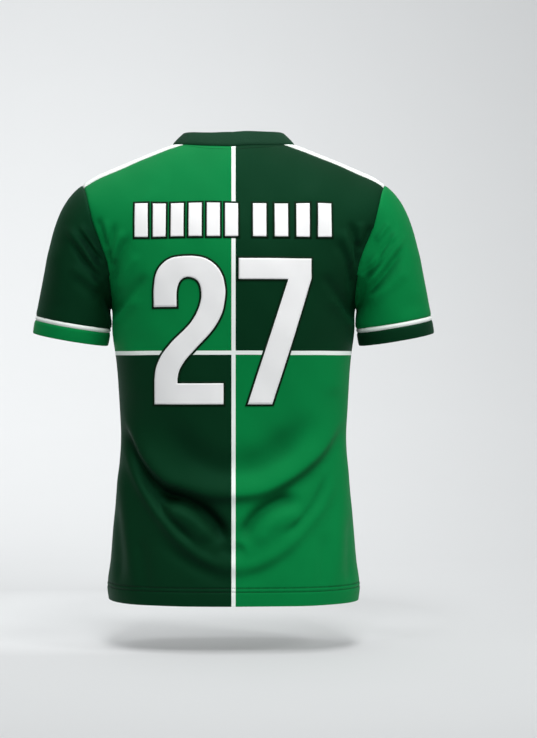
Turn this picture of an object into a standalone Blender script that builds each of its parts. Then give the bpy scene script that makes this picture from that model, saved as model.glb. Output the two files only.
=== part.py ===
"""Football jersey in its worn shape, with no wearer inside.

Metres, +Z up. The numbered back faces -Y and the front faces +Y. The origin is the middle of the
neck, level with the top of the shoulder seams, where the wearer holds the garment up.
The trunk is one form, worked out from its cross-sections and its shoulder ridge. Each panel is a
grid of points on that form, between its own seams, and each sleeve is lofted from the armhole
seam to the cuff. Pieces that meet at a seam share its points, then each is drawn in by half a gap.
"""
import math

import bpy
import numpy as np

NAME = "football_jersey"

# Cloth.
CLOTH = 0.0015            # wall of the knit, hems and seams included
RIB = 0.0020              # wall of the collar band
SEAM_GAP = 0.0003         # left open between two pieces at a seam
TRANSFER = 0.0005         # wall of a cut numeral
TRANSFER_LIFT = 0.0007    # from the panel to the underside of a numeral

# Trunk.
NECK_HALF = 0.098         # half width of the neck seam
TIP_HALF = 0.242          # half width at the shoulder tips
SHOULDER_SLOPE = 0.43
NECK_BLEND = 0.050        # rounds the ridge off where the neck is
DROOP_START = 0.210       # half width past which the ridge bends down to the sleeve
DROOP = 6.0
ROUND_NECK = 0.240        # height over which the shoulder rounds off, near the neck
ROUND_TIP = 0.140         # the same at the shoulder tip
SQUARENESS = 2.5          # exponent of the trunk's cross-sections
BACK_NECK_DROP = 0.0334   # from the ridge's line to the neck seam, at the centre back
FRONT_NECK_DROP = 0.106
BACK_NECK_CURVE = 1.5
FRONT_NECK_CURVE = 2.8

# Rows from the hem up: height, half width, and depth behind and in front of the middle.
TRUNK = np.array([
    # height, half width, back, front
    (-0.724, 0.199, 0.114, 0.107),
    (-0.710, 0.201, 0.114, 0.107),
    (-0.660, 0.196, 0.112, 0.106),
    (-0.600, 0.191, 0.106, 0.106),
    (-0.540, 0.185, 0.100, 0.107),
    (-0.472, 0.180, 0.097, 0.109),
    (-0.400, 0.183, 0.102, 0.113),
    (-0.344, 0.187, 0.109, 0.117),
    (-0.300, 0.193, 0.114, 0.120),
    (-0.262, 0.195, 0.117, 0.122),
    (-0.235, 0.203, 0.118, 0.123),
    (-0.208, 0.216, 0.119, 0.123),
    (-0.176, 0.232, 0.119, 0.122),
    (-0.152, 0.246, 0.118, 0.120),
    (-0.128, 0.265, 0.117, 0.117),
    (-0.096, 0.300, 0.114, 0.111),
    (-0.040, 0.340, 0.111, 0.105),
    (0.040, 0.360, 0.110, 0.102),
])

# The armhole seam from the underarm up to the shoulder tip: the front is cut in further.
ARMHOLE = np.array([
    # height, half width at the back, at the front
    (-0.2620, 0.1950, 0.1945),
    (-0.2480, 0.1955, 0.1925),
    (-0.2300, 0.1960, 0.1910),
    (-0.2110, 0.1975, 0.1905),
    (-0.1800, 0.2040, 0.1950),
    (-0.1570, 0.2120, 0.2030),
    (-0.1330, 0.2200, 0.2120),
    (-0.1015, 0.2280, 0.2230),
    (-0.0755, 0.2360, 0.2340),
    (-0.0644, 0.2420, 0.2420),
])

# Shoulder band: how far its edges lie below the ridge.
BAND_DROP_NECK = {-1: 0.0095, 1: 0.0060}
BAND_DROP_TIP = {-1: 0.0075, 1: 0.0050}

# Sleeves, for the sleeve on the +X side.
CUFF_CENTRE = np.array((0.2605, 0.0, -0.3100))
ARM_AXIS = np.array((0.172, 0.061, -0.983))
CUFF_HALF_WIDTH = 0.0608
CUFF_HALF_DEPTH = 0.062
CUFF_HEIGHT = 0.0205
TAPE_HEIGHT = 0.0068
SLEEVE_FLARE = 0.10       # growth of the sleeve per metre, up from the cuff
SLEEVE_EASE = 0.80        # fullness of the sleeve between the armhole and the tape
HEAD_RUN = np.array((0.82, 0.0, -0.57))       # how the cloth leaves the armhole at the tip
UNDERARM_RUN = np.array((0.92, 0.0, -0.40))   # and at the underarm
CUFF_RUN = np.array((0.215, 0.061, -0.975)) * 1.75       # and how it comes to the tape

# Collar: top edge against the seam.
COLLAR_HEIGHT = 0.0250
COLLAR_LEVEL = 0.0012      # how much the top edge is evened out
COLLAR_LEAN_SIDE = 0.0175
COLLAR_LEAN_BACK = 0.012
COLLAR_LEAN_FRONT = 0.010

# Grids.
ROWS_BODY = 14            # hem to underarm
ROWS_ARM = 9              # underarm to shoulder band
COLS_NECK = 4             # centre to the neck point
COLS_SHOULDER = 6         # neck point to the armhole
COLS_BAND = 4             # across a shoulder band
ROWS_SLEEVE = 8
STEPS_STROKE = 3          # across the stroke of a numeral

# The largest folds, as ridges (+) and troughs (-) seen from outside: start, middle and end of
# each line as half width and height, with the fold's half breadth and its height.
FOLDS = [
    # side, x0, z0, x1, z1, x2, z2, breadth, height
    (-1, -0.168, -0.455, 0.000, -0.620, 0.168, -0.455, 0.020, 0.0065),
    (-1, -0.119, -0.562, -0.045, -0.530, -0.010, -0.630, 0.014, -0.0065),
    (-1, 0.119, -0.560, 0.050, -0.532, 0.010, -0.628, 0.014, -0.0065),
    (-1, -0.114, -0.636, 0.000, -0.700, 0.100, -0.650, 0.018, -0.0045),
    (-1, -0.176, -0.430, -0.150, -0.540, -0.180, -0.664, 0.014, 0.0045),
    (-1, 0.178, -0.430, 0.152, -0.540, 0.178, -0.660, 0.014, 0.0045),
    (-1, -0.186, -0.270, -0.176, -0.225, -0.172, -0.180, 0.012, -0.0035),
    (-1, 0.186, -0.270, 0.176, -0.225, 0.172, -0.180, 0.012, -0.0035),
    (1, -0.165, -0.470, 0.010, -0.590, 0.160, -0.480, 0.021, 0.0055),
    (1, -0.120, -0.590, 0.000, -0.570, 0.070, -0.650, 0.016, -0.0050),
    (1, -0.180, -0.240, -0.150, -0.190, -0.130, -0.140, 0.013, -0.0040),
    (1, 0.180, -0.240, 0.150, -0.190, 0.130, -0.140, 0.013, -0.0040),
]

# Folds of a sleeve, seen from outside, on the +X sleeve.
SLEEVE_FOLDS = [
    # side, x0, z0, x1, z1, x2, z2, breadth, height
    (-1, 0.212, -0.215, 0.238, -0.180, 0.262, -0.150, 0.012, -0.0045),
    (-1, 0.218, -0.250, 0.250, -0.215, 0.285, -0.195, 0.012, -0.0035),
    (1, 0.212, -0.220, 0.240, -0.185, 0.265, -0.150, 0.013, -0.0040),
]

# Numerals: pairs of points along the outer and the inner edge of each stroke, as half width and
# height, measured from the panel's centre. A bent stroke has its corner pair mitred.
TWO = [
    # outer x, outer z, inner x, inner z, steps to the next pair
    (-0.1230, -0.2625, -0.0880, -0.2625, 2),
    (-0.1225, -0.2305, -0.0875, -0.2365, 1),
    (-0.1190, -0.2105, -0.0840, -0.2250, 1),
    (-0.1105, -0.1970, -0.0785, -0.2190, 1),
    (-0.0970, -0.1880, -0.0735, -0.2170, 1),
    (-0.0805, -0.1850, -0.0700, -0.2165, 2),
    (-0.0565, -0.1850, -0.0640, -0.2175, 1),
    (-0.0405, -0.1895, -0.0585, -0.2200, 1),
    (-0.0260, -0.2005, -0.0535, -0.2250, 1),
    (-0.0170, -0.2150, -0.0505, -0.2330, 1),
    (-0.0130, -0.2330, -0.0495, -0.2420, 1),
    (-0.0130, -0.2475, -0.0500, -0.2520, 1),
    (-0.0170, -0.2695, -0.0540, -0.2660, 1),
    (-0.0275, -0.2910, -0.0640, -0.2845, 2),
    (-0.0605, -0.3290, -0.0980, -0.3200, 1),
    (-0.0750, -0.3455, -0.1120, -0.3385, 1),
    (-0.0835, -0.3600, -0.1195, -0.3565, 1),
    (-0.0865, -0.3725, -0.1220, -0.3745, 1),
    (-0.0865, -0.3805, -0.1225, -0.4130, 5),
    (-0.0155, -0.3805, -0.0155, -0.4130, 1),
]
SEVEN = [
    (0.0080, -0.1880, 0.0080, -0.2200, 4),
    (0.0840, -0.1880, 0.0835, -0.2200, 2),
    (0.1205, -0.1880, 0.0840, -0.2210, 1),
    (0.1205, -0.2190, 0.0835, -0.2230, 7),
    (0.0600, -0.4130, 0.0220, -0.4130, 1),
]

# Plain blocks in two groups, where a name would go.
BLOCK_TOP = -0.102
BLOCK_FOOT = -0.154
BLOCK_GROUPS = [
    # left edge, blocks, pitch, width of a block
    (-0.1530, 6, 0.0280, 0.0200),
    (0.0300, 4, 0.0336, 0.0207),
]

GREEN_LIGHT = (0.012, 0.270, 0.082)
GREEN_DARK = (0.006, 0.050, 0.018)
WHITE = (0.78, 0.80, 0.79)


# ---- the trunk's form ------------------------------------------------------------------------

def through(table, column, height):
    """A smooth curve through one column of a table whose first column is the height."""
    keys, values = table[:, 0], table[:, column]
    slopes = np.gradient(values, keys)
    height = np.clip(height, keys[0], keys[-1])
    i = np.clip(np.searchsorted(keys, height) - 1, 0, len(keys) - 2)
    span = keys[i + 1] - keys[i]
    t = (height - keys[i]) / span
    rise = values[i + 1] - values[i]
    curve = t * t * (3 - 2 * t) * rise
    curve += t * (1 - t) ** 2 * span * slopes[i] - t * t * (1 - t) * span * slopes[i + 1]
    return values[i] + curve


def ridge(x):
    """Height of the shoulder's top line."""
    run = np.hypot(x, NECK_BLEND) - math.hypot(NECK_HALF, NECK_BLEND)
    return -SHOULDER_SLOPE * run - DROOP * np.maximum(0, np.abs(x) - DROOP_START) ** 2


def on_trunk(x, z, side):
    """Points of the trunk's surface: side is -1 for the back and 1 for the front."""
    half = through(TRUNK, 1, z)
    depth = through(TRUNK, 2 if side < 0 else 3, z)
    across = (1 - np.minimum(1, np.abs(x) / half) ** SQUARENESS) ** (1 / SQUARENESS)
    outward = np.clip((np.abs(x) - NECK_HALF) / (TIP_HALF - NECK_HALF), 0, 1)
    rounding = ROUND_NECK + (ROUND_TIP - ROUND_NECK) * outward
    fall = np.clip((ridge(x) - z) / rounding, 0, 1)
    over = np.sqrt(1 - (1 - fall) ** 2)
    return np.stack((x, side * depth * across * over, z), axis=-1)


def neck_fall(side):
    """Deepest fall of the neck seam below the ridge's line, and the exponent of its curve."""
    if side < 0:
        return BACK_NECK_DROP, BACK_NECK_CURVE
    return FRONT_NECK_DROP, FRONT_NECK_CURVE


def neck_line(x, side):
    """Height of the neck seam."""
    deepest, curve = neck_fall(side)
    return ridge(x) - deepest * (1 - np.minimum(1, np.abs(x) / NECK_HALF) ** curve)


def neck_half_at(fall, side):
    """Half width of the neck seam where it lies this far below the ridge."""
    deepest, curve = neck_fall(side)
    return NECK_HALF * (1 - fall / deepest) ** (1 / curve)


def armhole_half(z, side):
    """Half width of the armhole seam."""
    return through(ARMHOLE, 1 if side < 0 else 2, z)


def band_ends(across):
    """Neck end and tip end of a line along the shoulder band, each as (half width, fall)."""
    side = -1 if across < 0 else 1
    at_neck = BAND_DROP_NECK[side] * across * across
    at_tip = BAND_DROP_TIP[side] * across * across
    tip_half = TIP_HALF
    for _ in range(30):
        tip_half = armhole_half(ridge(tip_half) - at_tip, side)
    return (neck_half_at(at_neck, side), at_neck), (tip_half, at_tip)


# ---- grids -----------------------------------------------------------------------------------

def share_out(centre_to_corner, corner_to_edge, corner, edge):
    """Evenly spaced places from -edge to edge, with one of them exactly on each corner."""
    inner = np.linspace(0, corner, centre_to_corner + 1)
    outer = np.linspace(corner, edge, corner_to_edge + 1)[1:]
    half = np.concatenate((inner, outer))
    return np.concatenate((-half[:0:-1], half))


def section_places(edge, height_at, side):
    """Places across a trunk section that are evenly spaced along the cloth."""
    angle = np.linspace(0, math.pi / 2, 200)
    x = edge * np.sin(angle)
    line = on_trunk(x, height_at(x), side)
    run = np.concatenate(((0,), np.cumsum(np.linalg.norm(np.diff(line, axis=0), axis=1))))
    even = np.linspace(0, run[-1], COLS_NECK + COLS_SHOULDER + 1)
    half = np.interp(even, run, x)
    return np.concatenate((-half[:0:-1], half))


def panel(side):
    """The back (-1) or front (1) panel, as rows from the hem up."""
    (neck_point, neck_drop), (tip, tip_drop) = band_ends(side)
    underarm = ARMHOLE[0, 0]
    rows = []
    for z in np.linspace(TRUNK[0, 0], underarm, ROWS_BODY + 1):
        places = section_places(through(TRUNK, 1, z), lambda x, z=z: np.full_like(x, z), side)
        rows.append(on_trunk(places, np.full_like(places, z), side))

    def top(x):
        along = np.clip((np.abs(x) - neck_point) / (tip - neck_point), 0, 1)
        shoulder = ridge(x) - (neck_drop + (tip_drop - neck_drop) * along)
        return np.where(np.abs(x) <= neck_point, neck_line(x, side), shoulder)

    for step in range(1, ROWS_ARM + 1):
        rise = step / ROWS_ARM
        edge = ARMHOLE[0, 1]
        for _ in range(30):
            edge = armhole_half(underarm + rise * (top(edge) - underarm), side)
        by_cloth = section_places(edge, lambda x: underarm + rise * (top(x) - underarm), side)
        by_width = share_out(COLS_NECK, COLS_SHOULDER, neck_point, edge)
        places = by_cloth + rise * rise * (by_width - by_cloth)
        rows.append(on_trunk(places, underarm + rise * (top(places) - underarm), side))
    return np.array(rows)


def shoulder_band(back, front):
    """The band over the +X shoulder, as rows from its back edge over the ridge to its front."""
    rows = []
    for across in np.linspace(-1, 1, COLS_BAND + 1):
        (neck_half, neck_drop), (tip_half, tip_drop) = band_ends(across)
        x = np.linspace(neck_half, tip_half, COLS_SHOULDER + 1)
        fall = np.linspace(neck_drop, tip_drop, COLS_SHOULDER + 1)
        rows.append(on_trunk(x, ridge(x) - fall, -1 if across < 0 else 1))
    rows[0] = back[-1, -COLS_SHOULDER - 1:]
    rows[-1] = front[-1, -COLS_SHOULDER - 1:]
    return np.array(rows)


def armhole_loop(back, front, band):
    """The +X armhole seam from the underarm up the back, over the tip and down the front."""
    up = back[ROWS_BODY:, -1]
    over = band[1:-1, -1]
    down = front[ROWS_BODY + 1:, -1][::-1]
    return np.concatenate((up, over, down))


def neck_loop(back, front, band):
    """The neck seam from the -X side across the back, and round by +X across the front."""
    corner = COLS_SHOULDER
    across_back = back[-1, corner:-corner]
    over = band[1:-1, 0]
    across_front = front[-1, corner:-corner][::-1]
    return np.concatenate((across_back, over, across_front, over[::-1] * (-1, 1, 1)))


def sleeve_rings(loop):
    """Rings of the +X sleeve, from the armhole loop down to the tape."""
    steps = np.linalg.norm(np.roll(loop, -1, axis=0) - loop, axis=1)
    tip = int(np.argmax(loop[:, 2]))
    up = np.concatenate(((0,), np.cumsum(steps[:tip])))
    down = np.concatenate(((0,), np.cumsum(steps[tip:])))
    angle = np.concatenate((math.pi * up / up[-1], math.pi * (1 + down[1:-1] / down[-1])))
    end = cuff_ring(angle, CUFF_HEIGHT + TAPE_HEIGHT)
    chord = SLEEVE_EASE * np.linalg.norm(end - loop, axis=1)[:, None]
    high = ((1 - np.cos(angle)) / 2)[:, None]
    leave = UNDERARM_RUN + (HEAD_RUN - UNDERARM_RUN) * high
    rings = []
    for s in np.linspace(0, 1, ROWS_SLEEVE + 1):
        rings.append(
            (1 + 2 * s) * (1 - s) ** 2 * loop + s * s * (3 - 2 * s) * end
            + chord * (s * (1 - s) ** 2 * leave - s * s * (1 - s) * CUFF_RUN)
        )
    return np.array(rings), angle


def cuff_ring(angle, above_hem):
    """A ring of the cuff: angle 0 faces the trunk and pi / 2 faces back."""
    centre = CUFF_CENTRE - ARM_AXIS * above_hem
    outward = np.array((-ARM_AXIS[2], 0.0, ARM_AXIS[0]))
    outward /= np.linalg.norm(outward)
    forward = np.cross(outward, ARM_AXIS)
    grow = 1 + SLEEVE_FLARE * above_hem
    wide = -np.cos(angle)[:, None] * outward * CUFF_HALF_WIDTH * grow
    deep = -np.sin(angle)[:, None] * forward * CUFF_HALF_DEPTH * grow
    return centre + wide + deep


def collar_rings(loop):
    """Seam, middle and top edge of the collar band, standing on the neck seam."""
    sideways = np.abs(loop[:, 0]) / NECK_HALF
    behind = loop[:, 1] < 0
    lean = np.where(behind, COLLAR_LEAN_BACK, COLLAR_LEAN_FRONT)
    lean = lean + (COLLAR_LEAN_SIDE - lean) * sideways ** 4
    middle = np.array((0.0, loop[:, 1].mean()))
    inward = middle - loop[:, :2]
    inward /= np.linalg.norm(inward, axis=1)[:, None]
    up = np.sqrt(COLLAR_HEIGHT ** 2 - lean ** 2) + COLLAR_LEVEL * np.cos(1.5 * math.pi * sideways)
    shift = np.column_stack((inward * lean[:, None], up))
    return np.array([loop + shift * part for part in (0, 0.5, 1)])


# ---- folds -----------------------------------------------------------------------------------

def fold_height(points, folds):
    """How far the folds lift each point: a soft ridge or trough that fades at its ends."""
    lift = np.zeros(len(points))
    t = np.linspace(0, 1, 25)[:, None]
    fade = np.sin(math.pi * t[:, 0]) ** 0.6
    for side, x0, z0, x1, z1, x2, z2, breadth, height in folds:
        line = (1 - t) ** 2 * (x0, z0) + 2 * t * (1 - t) * (x1, z1) + t * t * (x2, z2)
        near = np.linalg.norm(points[:, None, (0, 2)] - line[None], axis=2)
        bump = (fade * np.exp(-(near / breadth) ** 2)).max(axis=1)
        facing = np.clip(points[:, 1] * side / 0.030, 0, 1)
        lift += height * bump * facing * facing * (3 - 2 * facing)
    return lift


# ---- walls -----------------------------------------------------------------------------------

def point_normals(grid, ring):
    """Outward normals of a grid's points. A ring's columns close on themselves."""
    if ring:
        across = np.roll(grid, -1, axis=1) - np.roll(grid, 1, axis=1)
    else:
        across = np.gradient(grid, axis=1)
    normal = np.cross(across, np.gradient(grid, axis=0))
    return normal / np.linalg.norm(normal, axis=2)[..., None]


def key(point):
    """The same short name for points that are the same place."""
    return tuple(int(round(value * 1e5)) for value in point)


class Wall:
    """One piece of cloth: a grid of outside points and the material and wall it gets."""

    def __init__(self, name, grid, colour, wall=CLOTH, ring=False, folds=FOLDS):
        self.name = name
        self.grid = grid
        self.colour = colour
        self.wall = wall
        self.ring = ring
        self.folds = folds
        self.normals = point_normals(grid, ring)

    def mirrored(self, name, colour):
        """The same piece for the -X side."""
        grid = self.grid[:, ::-1] * (-1, 1, 1)
        folds = [(f[0], -f[1], f[2], -f[3], f[4], -f[5], *f[6:]) for f in self.folds]
        return Wall(name, grid, colour, self.wall, self.ring, folds)


def share_normals(walls):
    """Pieces that meet at a seam take one direction there, so that their edges run parallel."""
    meeting = {}
    for wall in walls:
        for point, normal in zip(wall.grid.reshape(-1, 3), wall.normals.reshape(-1, 3)):
            known = meeting.setdefault(key(point), [])
            if all(normal @ other < 0.5 for other in known):
                known.append(normal)
    for wall in walls:
        flat = wall.normals.reshape(-1, 3)
        for i, point in enumerate(wall.grid.reshape(-1, 3)):
            mean = np.sum(meeting[key(point)], axis=0)
            flat[i] = mean / np.linalg.norm(mean)


def draw_in(grid, ring):
    """Move a grid's open edges inwards, by as much as half of the gap at a seam."""
    drawn = grid.copy()
    edges = [(0, 1), (-1, -2)]
    for edge, inner in edges:
        run = grid[inner] - grid[edge]
        drawn[edge] += run * (SEAM_GAP / 2 / np.linalg.norm(run, axis=1))[:, None]
    if not ring:
        for edge, inner in edges:
            run = grid[:, inner] - grid[:, edge]
            drawn[:, edge] += run * (SEAM_GAP / 2 / np.linalg.norm(run, axis=1))[:, None]
    return drawn


def seam_rank(point):
    """Puts a seam's points in one order for all its pieces, on both sides of the garment."""
    return 3 * point[2] + point[1] / 2 - abs(point[0])


def rim_pair(points, a, b, shift):
    """Two triangles across the wall's edge, split the same way on both pieces at a seam."""
    if seam_rank(points[a]) < seam_rank(points[b]):
        return [(a, b, b + shift), (a, b + shift, a + shift)]
    return [(a, b, a + shift), (b, b + shift, a + shift)]


def wall_mesh(name, outside, inside, ring):
    """A closed wall between two grids of the same size."""
    rows, cols = outside.shape[:2]
    points = np.concatenate((outside.reshape(-1, 3), inside.reshape(-1, 3)))
    shift = rows * cols
    spans = cols if ring else cols - 1
    faces = []
    for r in range(rows - 1):
        for c in range(spans):
            d = (c + 1) % cols
            quad = (r * cols + c, r * cols + d, (r + 1) * cols + d, (r + 1) * cols + c)
            faces.append(quad)
            faces.append(tuple(i + shift for i in reversed(quad)))
    rims = [[r * cols + c % cols for c in range(spans + 1)] for r in (0, rows - 1)]
    rims[0].reverse()
    if not ring:
        left = [r * cols for r in range(rows)]
        right = [r * cols + cols - 1 for r in range(rows - 1, -1, -1)]
        rims += [left, right]
    for rim in rims:
        for a, b in zip(rim, rim[1:]):
            faces += rim_pair(points, a, b, shift)
    mesh = bpy.data.meshes.new(name)
    mesh.from_pydata(points.tolist(), [], faces)
    mesh.validate()
    return mesh


def cloth_material(name, colour, roughness=0.75):
    material = bpy.data.materials.new(name)
    material.use_nodes = True
    shader = material.node_tree.nodes["Principled BSDF"]
    shader.inputs["Base Color"].default_value = (*colour, 1)
    shader.inputs["Roughness"].default_value = roughness
    shader.inputs["Metallic"].default_value = 0.0
    return material


def add_piece(collection, name, outside, inside, ring, colour, roughness=0.75):
    mesh = wall_mesh(name, outside, inside, ring)
    mesh.shade_smooth()
    mesh.materials.append(cloth_material(name, colour, roughness))
    piece = bpy.data.objects.new(name, mesh)
    collection.objects.link(piece)
    return piece


def add_wall(collection, wall):
    """Fold the cloth, draw its edges in from the seams and give it its wall."""
    flat = wall.grid.reshape(-1, 3)
    lift = fold_height(flat, wall.folds)
    folded = wall.grid + wall.normals * lift.reshape(wall.grid.shape[:2])[..., None]
    outside = draw_in(folded, wall.ring)
    inside = outside - wall.normals * wall.wall
    add_piece(collection, wall.name, outside, inside, wall.ring, wall.colour)


# ---- what lies on the back -------------------------------------------------------------------

def stroke(pairs):
    """Pairs of edge points along a stroke, filled in between the given ones."""
    outer, inner = [], []
    for this, after in zip(pairs, pairs[1:]):
        for i in range(this[4]):
            t = i / this[4]
            mixed = np.array(this[:4]) * (1 - t) + np.array(after[:4]) * t
            outer.append(mixed[:2])
            inner.append(mixed[2:])
    outer.append(pairs[-1][:2])
    inner.append(pairs[-1][2:4])
    return np.array(outer), np.array(inner)


def add_transfer(collection, name, pairs):
    """A cut numeral or block: a thin wall on the back panel, made from the panel's form."""
    outer, inner = stroke(pairs)
    rows = []
    for t in np.linspace(0, 1, STEPS_STROKE + 1):
        flat = outer * (1 - t) + inner * t
        rows.append(on_trunk(flat[:, 0], flat[:, 1], -1))
    grid = np.array(rows)
    normals = point_normals(grid, False)
    if normals[..., 1].mean() > 0:
        grid = grid[::-1]
        normals = point_normals(grid, False)
    lift = fold_height(grid.reshape(-1, 3), FOLDS).reshape(grid.shape[:2])
    inside = grid + normals * (lift + TRANSFER_LIFT)[..., None]
    add_piece(collection, name, inside + normals * TRANSFER, inside, False, WHITE, 0.5)


def add_name_blocks(collection):
    """Ten plain upright blocks, six and four, where a name would go."""
    number = 0
    for first, blocks, pitch, width in BLOCK_GROUPS:
        for left in first + pitch * np.arange(blocks):
            number += 1
            foot = (left, BLOCK_FOOT, left + width, BLOCK_FOOT, 3)
            top = (left, BLOCK_TOP, left + width, BLOCK_TOP, 1)
            add_transfer(collection, f"name_block_{number:02d}", [foot, top])


# ---- the garment -----------------------------------------------------------------------------

def make_walls():
    back = panel(-1)
    front = panel(1)
    band = shoulder_band(back, front)
    loop = armhole_loop(back, front, band)
    rings, angle = sleeve_rings(loop)
    tape = np.array([rings[-1], cuff_ring(angle, CUFF_HEIGHT)])
    cuff = np.array([tape[-1], cuff_ring(angle, CUFF_HEIGHT / 2), cuff_ring(angle, 0)])
    right = [
        Wall("shoulder_band_right", band, WHITE),
        Wall("sleeve_right", rings[:, ::-1], GREEN_LIGHT, ring=True, folds=SLEEVE_FOLDS),
        Wall("cuff_tape_right", tape[:, ::-1], WHITE, ring=True, folds=SLEEVE_FOLDS),
        Wall("cuff_right", cuff[:, ::-1], GREEN_DARK, ring=True, folds=SLEEVE_FOLDS),
    ]
    left_colours = (WHITE, GREEN_DARK, WHITE, GREEN_LIGHT)
    left = [w.mirrored(w.name.replace("right", "left"), c) for w, c in zip(right, left_colours)]
    collar = collar_rings(neck_loop(back, front, band))
    return [
        Wall("back", back, GREEN_DARK),
        Wall("front", front[:, ::-1], GREEN_LIGHT),
        *right,
        *left,
        Wall("collar", collar, GREEN_DARK, RIB, ring=True),
    ]


def main():
    for old in list(bpy.data.objects):
        bpy.data.objects.remove(old, do_unlink=True)
    collection = bpy.data.collections.new(NAME)
    bpy.context.scene.collection.children.link(collection)
    walls = make_walls()
    share_normals(walls)
    for wall in walls:
        add_wall(collection, wall)
    add_transfer(collection, "number_2", TWO)
    add_transfer(collection, "number_7", SEVEN)
    add_name_blocks(collection)


main()
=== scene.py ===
"""Football jersey as worn, with no wearer inside: the cloth, its print, transfers and stitching.

Laid out as an add-on: each operator makes one group of pieces on the packed frame. The cloth is a
thin shell on the garment's own form: panels between their seams on the trunk, sleeves lofted from
the armholes, with the creases laid in by hand as soft ridges and troughs.
"""
import math

import bmesh
import bpy
import numpy as np
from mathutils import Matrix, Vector


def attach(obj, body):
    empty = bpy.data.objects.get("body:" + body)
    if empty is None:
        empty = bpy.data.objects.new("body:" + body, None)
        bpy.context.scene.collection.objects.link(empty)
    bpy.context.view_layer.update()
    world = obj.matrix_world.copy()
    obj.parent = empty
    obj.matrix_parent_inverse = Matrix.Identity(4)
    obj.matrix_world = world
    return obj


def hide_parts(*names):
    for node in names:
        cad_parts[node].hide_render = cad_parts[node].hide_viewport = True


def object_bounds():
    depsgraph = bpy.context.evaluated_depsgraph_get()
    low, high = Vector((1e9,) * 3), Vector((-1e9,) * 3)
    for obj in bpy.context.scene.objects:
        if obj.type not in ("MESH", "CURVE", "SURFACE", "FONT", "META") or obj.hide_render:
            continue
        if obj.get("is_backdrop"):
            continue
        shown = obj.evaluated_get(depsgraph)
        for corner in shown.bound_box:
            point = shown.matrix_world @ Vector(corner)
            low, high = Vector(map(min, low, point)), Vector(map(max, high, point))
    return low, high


bl_info = {
    "name": "Football Jersey Maker",
    "version": (1, 0, 0),
    "blender": (4, 5, 0),
    "location": "View3D > Sidebar > Jersey",
    "description": "Makes the cloth, print, number and stitching of a worn football jersey",
    "category": "Object",
}

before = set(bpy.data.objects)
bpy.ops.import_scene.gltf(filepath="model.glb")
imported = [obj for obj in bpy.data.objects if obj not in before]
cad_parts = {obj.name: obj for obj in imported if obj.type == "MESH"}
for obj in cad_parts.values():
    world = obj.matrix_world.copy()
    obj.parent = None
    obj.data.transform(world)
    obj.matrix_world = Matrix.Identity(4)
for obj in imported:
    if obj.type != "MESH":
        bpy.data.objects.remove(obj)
CAD_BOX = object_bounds()
BODY = "root"

# ---- sizes of the form, the same as the solid model's

NECK_HALF = 0.098
TIP_HALF = 0.242
SHOULDER_SLOPE = 0.43
NECK_BLEND = 0.050
DROOP_START = 0.210
DROOP = 6.0
ROUND_NECK = 0.240
ROUND_TIP = 0.140
SQUARENESS = 2.5
NECK_FALL = {-1: (0.0334, 1.5), 1: (0.106, 2.8)}      # deepest fall and curve, back and front
BAND_DROP_NECK = {-1: 0.0095, 1: 0.0060}
BAND_DROP_TIP = {-1: 0.0075, 1: 0.0050}

TRUNK = np.array([
    # height, half width, depth to the back, to the front, in millimetres
    (-724, 199, 114, 107),
    (-710, 201, 114, 107),
    (-660, 196, 112, 106),
    (-600, 191, 106, 106),
    (-540, 185, 100, 107),
    (-472, 180, 97, 109),
    (-400, 183, 102, 113),
    (-344, 187, 109, 117),
    (-300, 193, 114, 120),
    (-262, 195, 117, 122),
    (-235, 203, 118, 123),
    (-208, 216, 119, 123),
    (-176, 232, 119, 122),
    (-152, 246, 118, 120),
    (-128, 265, 117, 117),
    (-96, 300, 114, 111),
    (-40, 340, 111, 105),
    (40, 360, 110, 102),
]) / 1000

ARMHOLE = np.array([
    # height, half width at the back, at the front, in millimetres
    (-262, 195, 194.5),
    (-248, 195.5, 192.5),
    (-230, 196, 191),
    (-211, 197.5, 190.5),
    (-180, 204, 195),
    (-157, 212, 203),
    (-133, 220, 212),
    (-101.5, 228, 223),
    (-75.5, 236, 234),
    (-64.4, 242, 242),
]) / 1000

CUFF_CENTRE = np.array((0.2605, 0.0, -0.3100))
ARM_AXIS = np.array((0.172, 0.061, -0.983))
CUFF_HALF_WIDTH = 0.0608
CUFF_HALF_DEPTH = 0.062
CUFF_HEIGHT = 0.0205
TAPE_HEIGHT = 0.0068
SLEEVE_FLARE = 0.10
SLEEVE_EASE = 0.80
HEAD_RUN = np.array((0.82, 0.0, -0.57))
UNDERARM_RUN = np.array((0.92, 0.0, -0.40))
CUFF_RUN = np.array((0.215, 0.061, -0.975)) * 1.75

COLLAR_HEIGHT = 0.0250
COLLAR_LEVEL = 0.0012      # how much the top edge is evened out
COLLAR_LEAN_SIDE = 0.0175
COLLAR_LEAN_BACK = 0.012
COLLAR_LEAN_FRONT = 0.010

# ---- how fine the cloth is

ROWS_BODY = 150        # hem to underarm,
ROWS_HEM = 30          # these of them in the hem
ROWS_ARM = 64
COLS_NECK = 36
COLS_SHOULDER = 50
COLS_BAND = 16
ROWS_SLEEVE = 84
ROWS_TAPE = 6
ROWS_CUFF = 14
ROWS_COLLAR = 14
EDGE_STEPS = 5         # round a turned edge
SETTLE = 30            # rounds in which a seam's width and height come to agree

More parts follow.
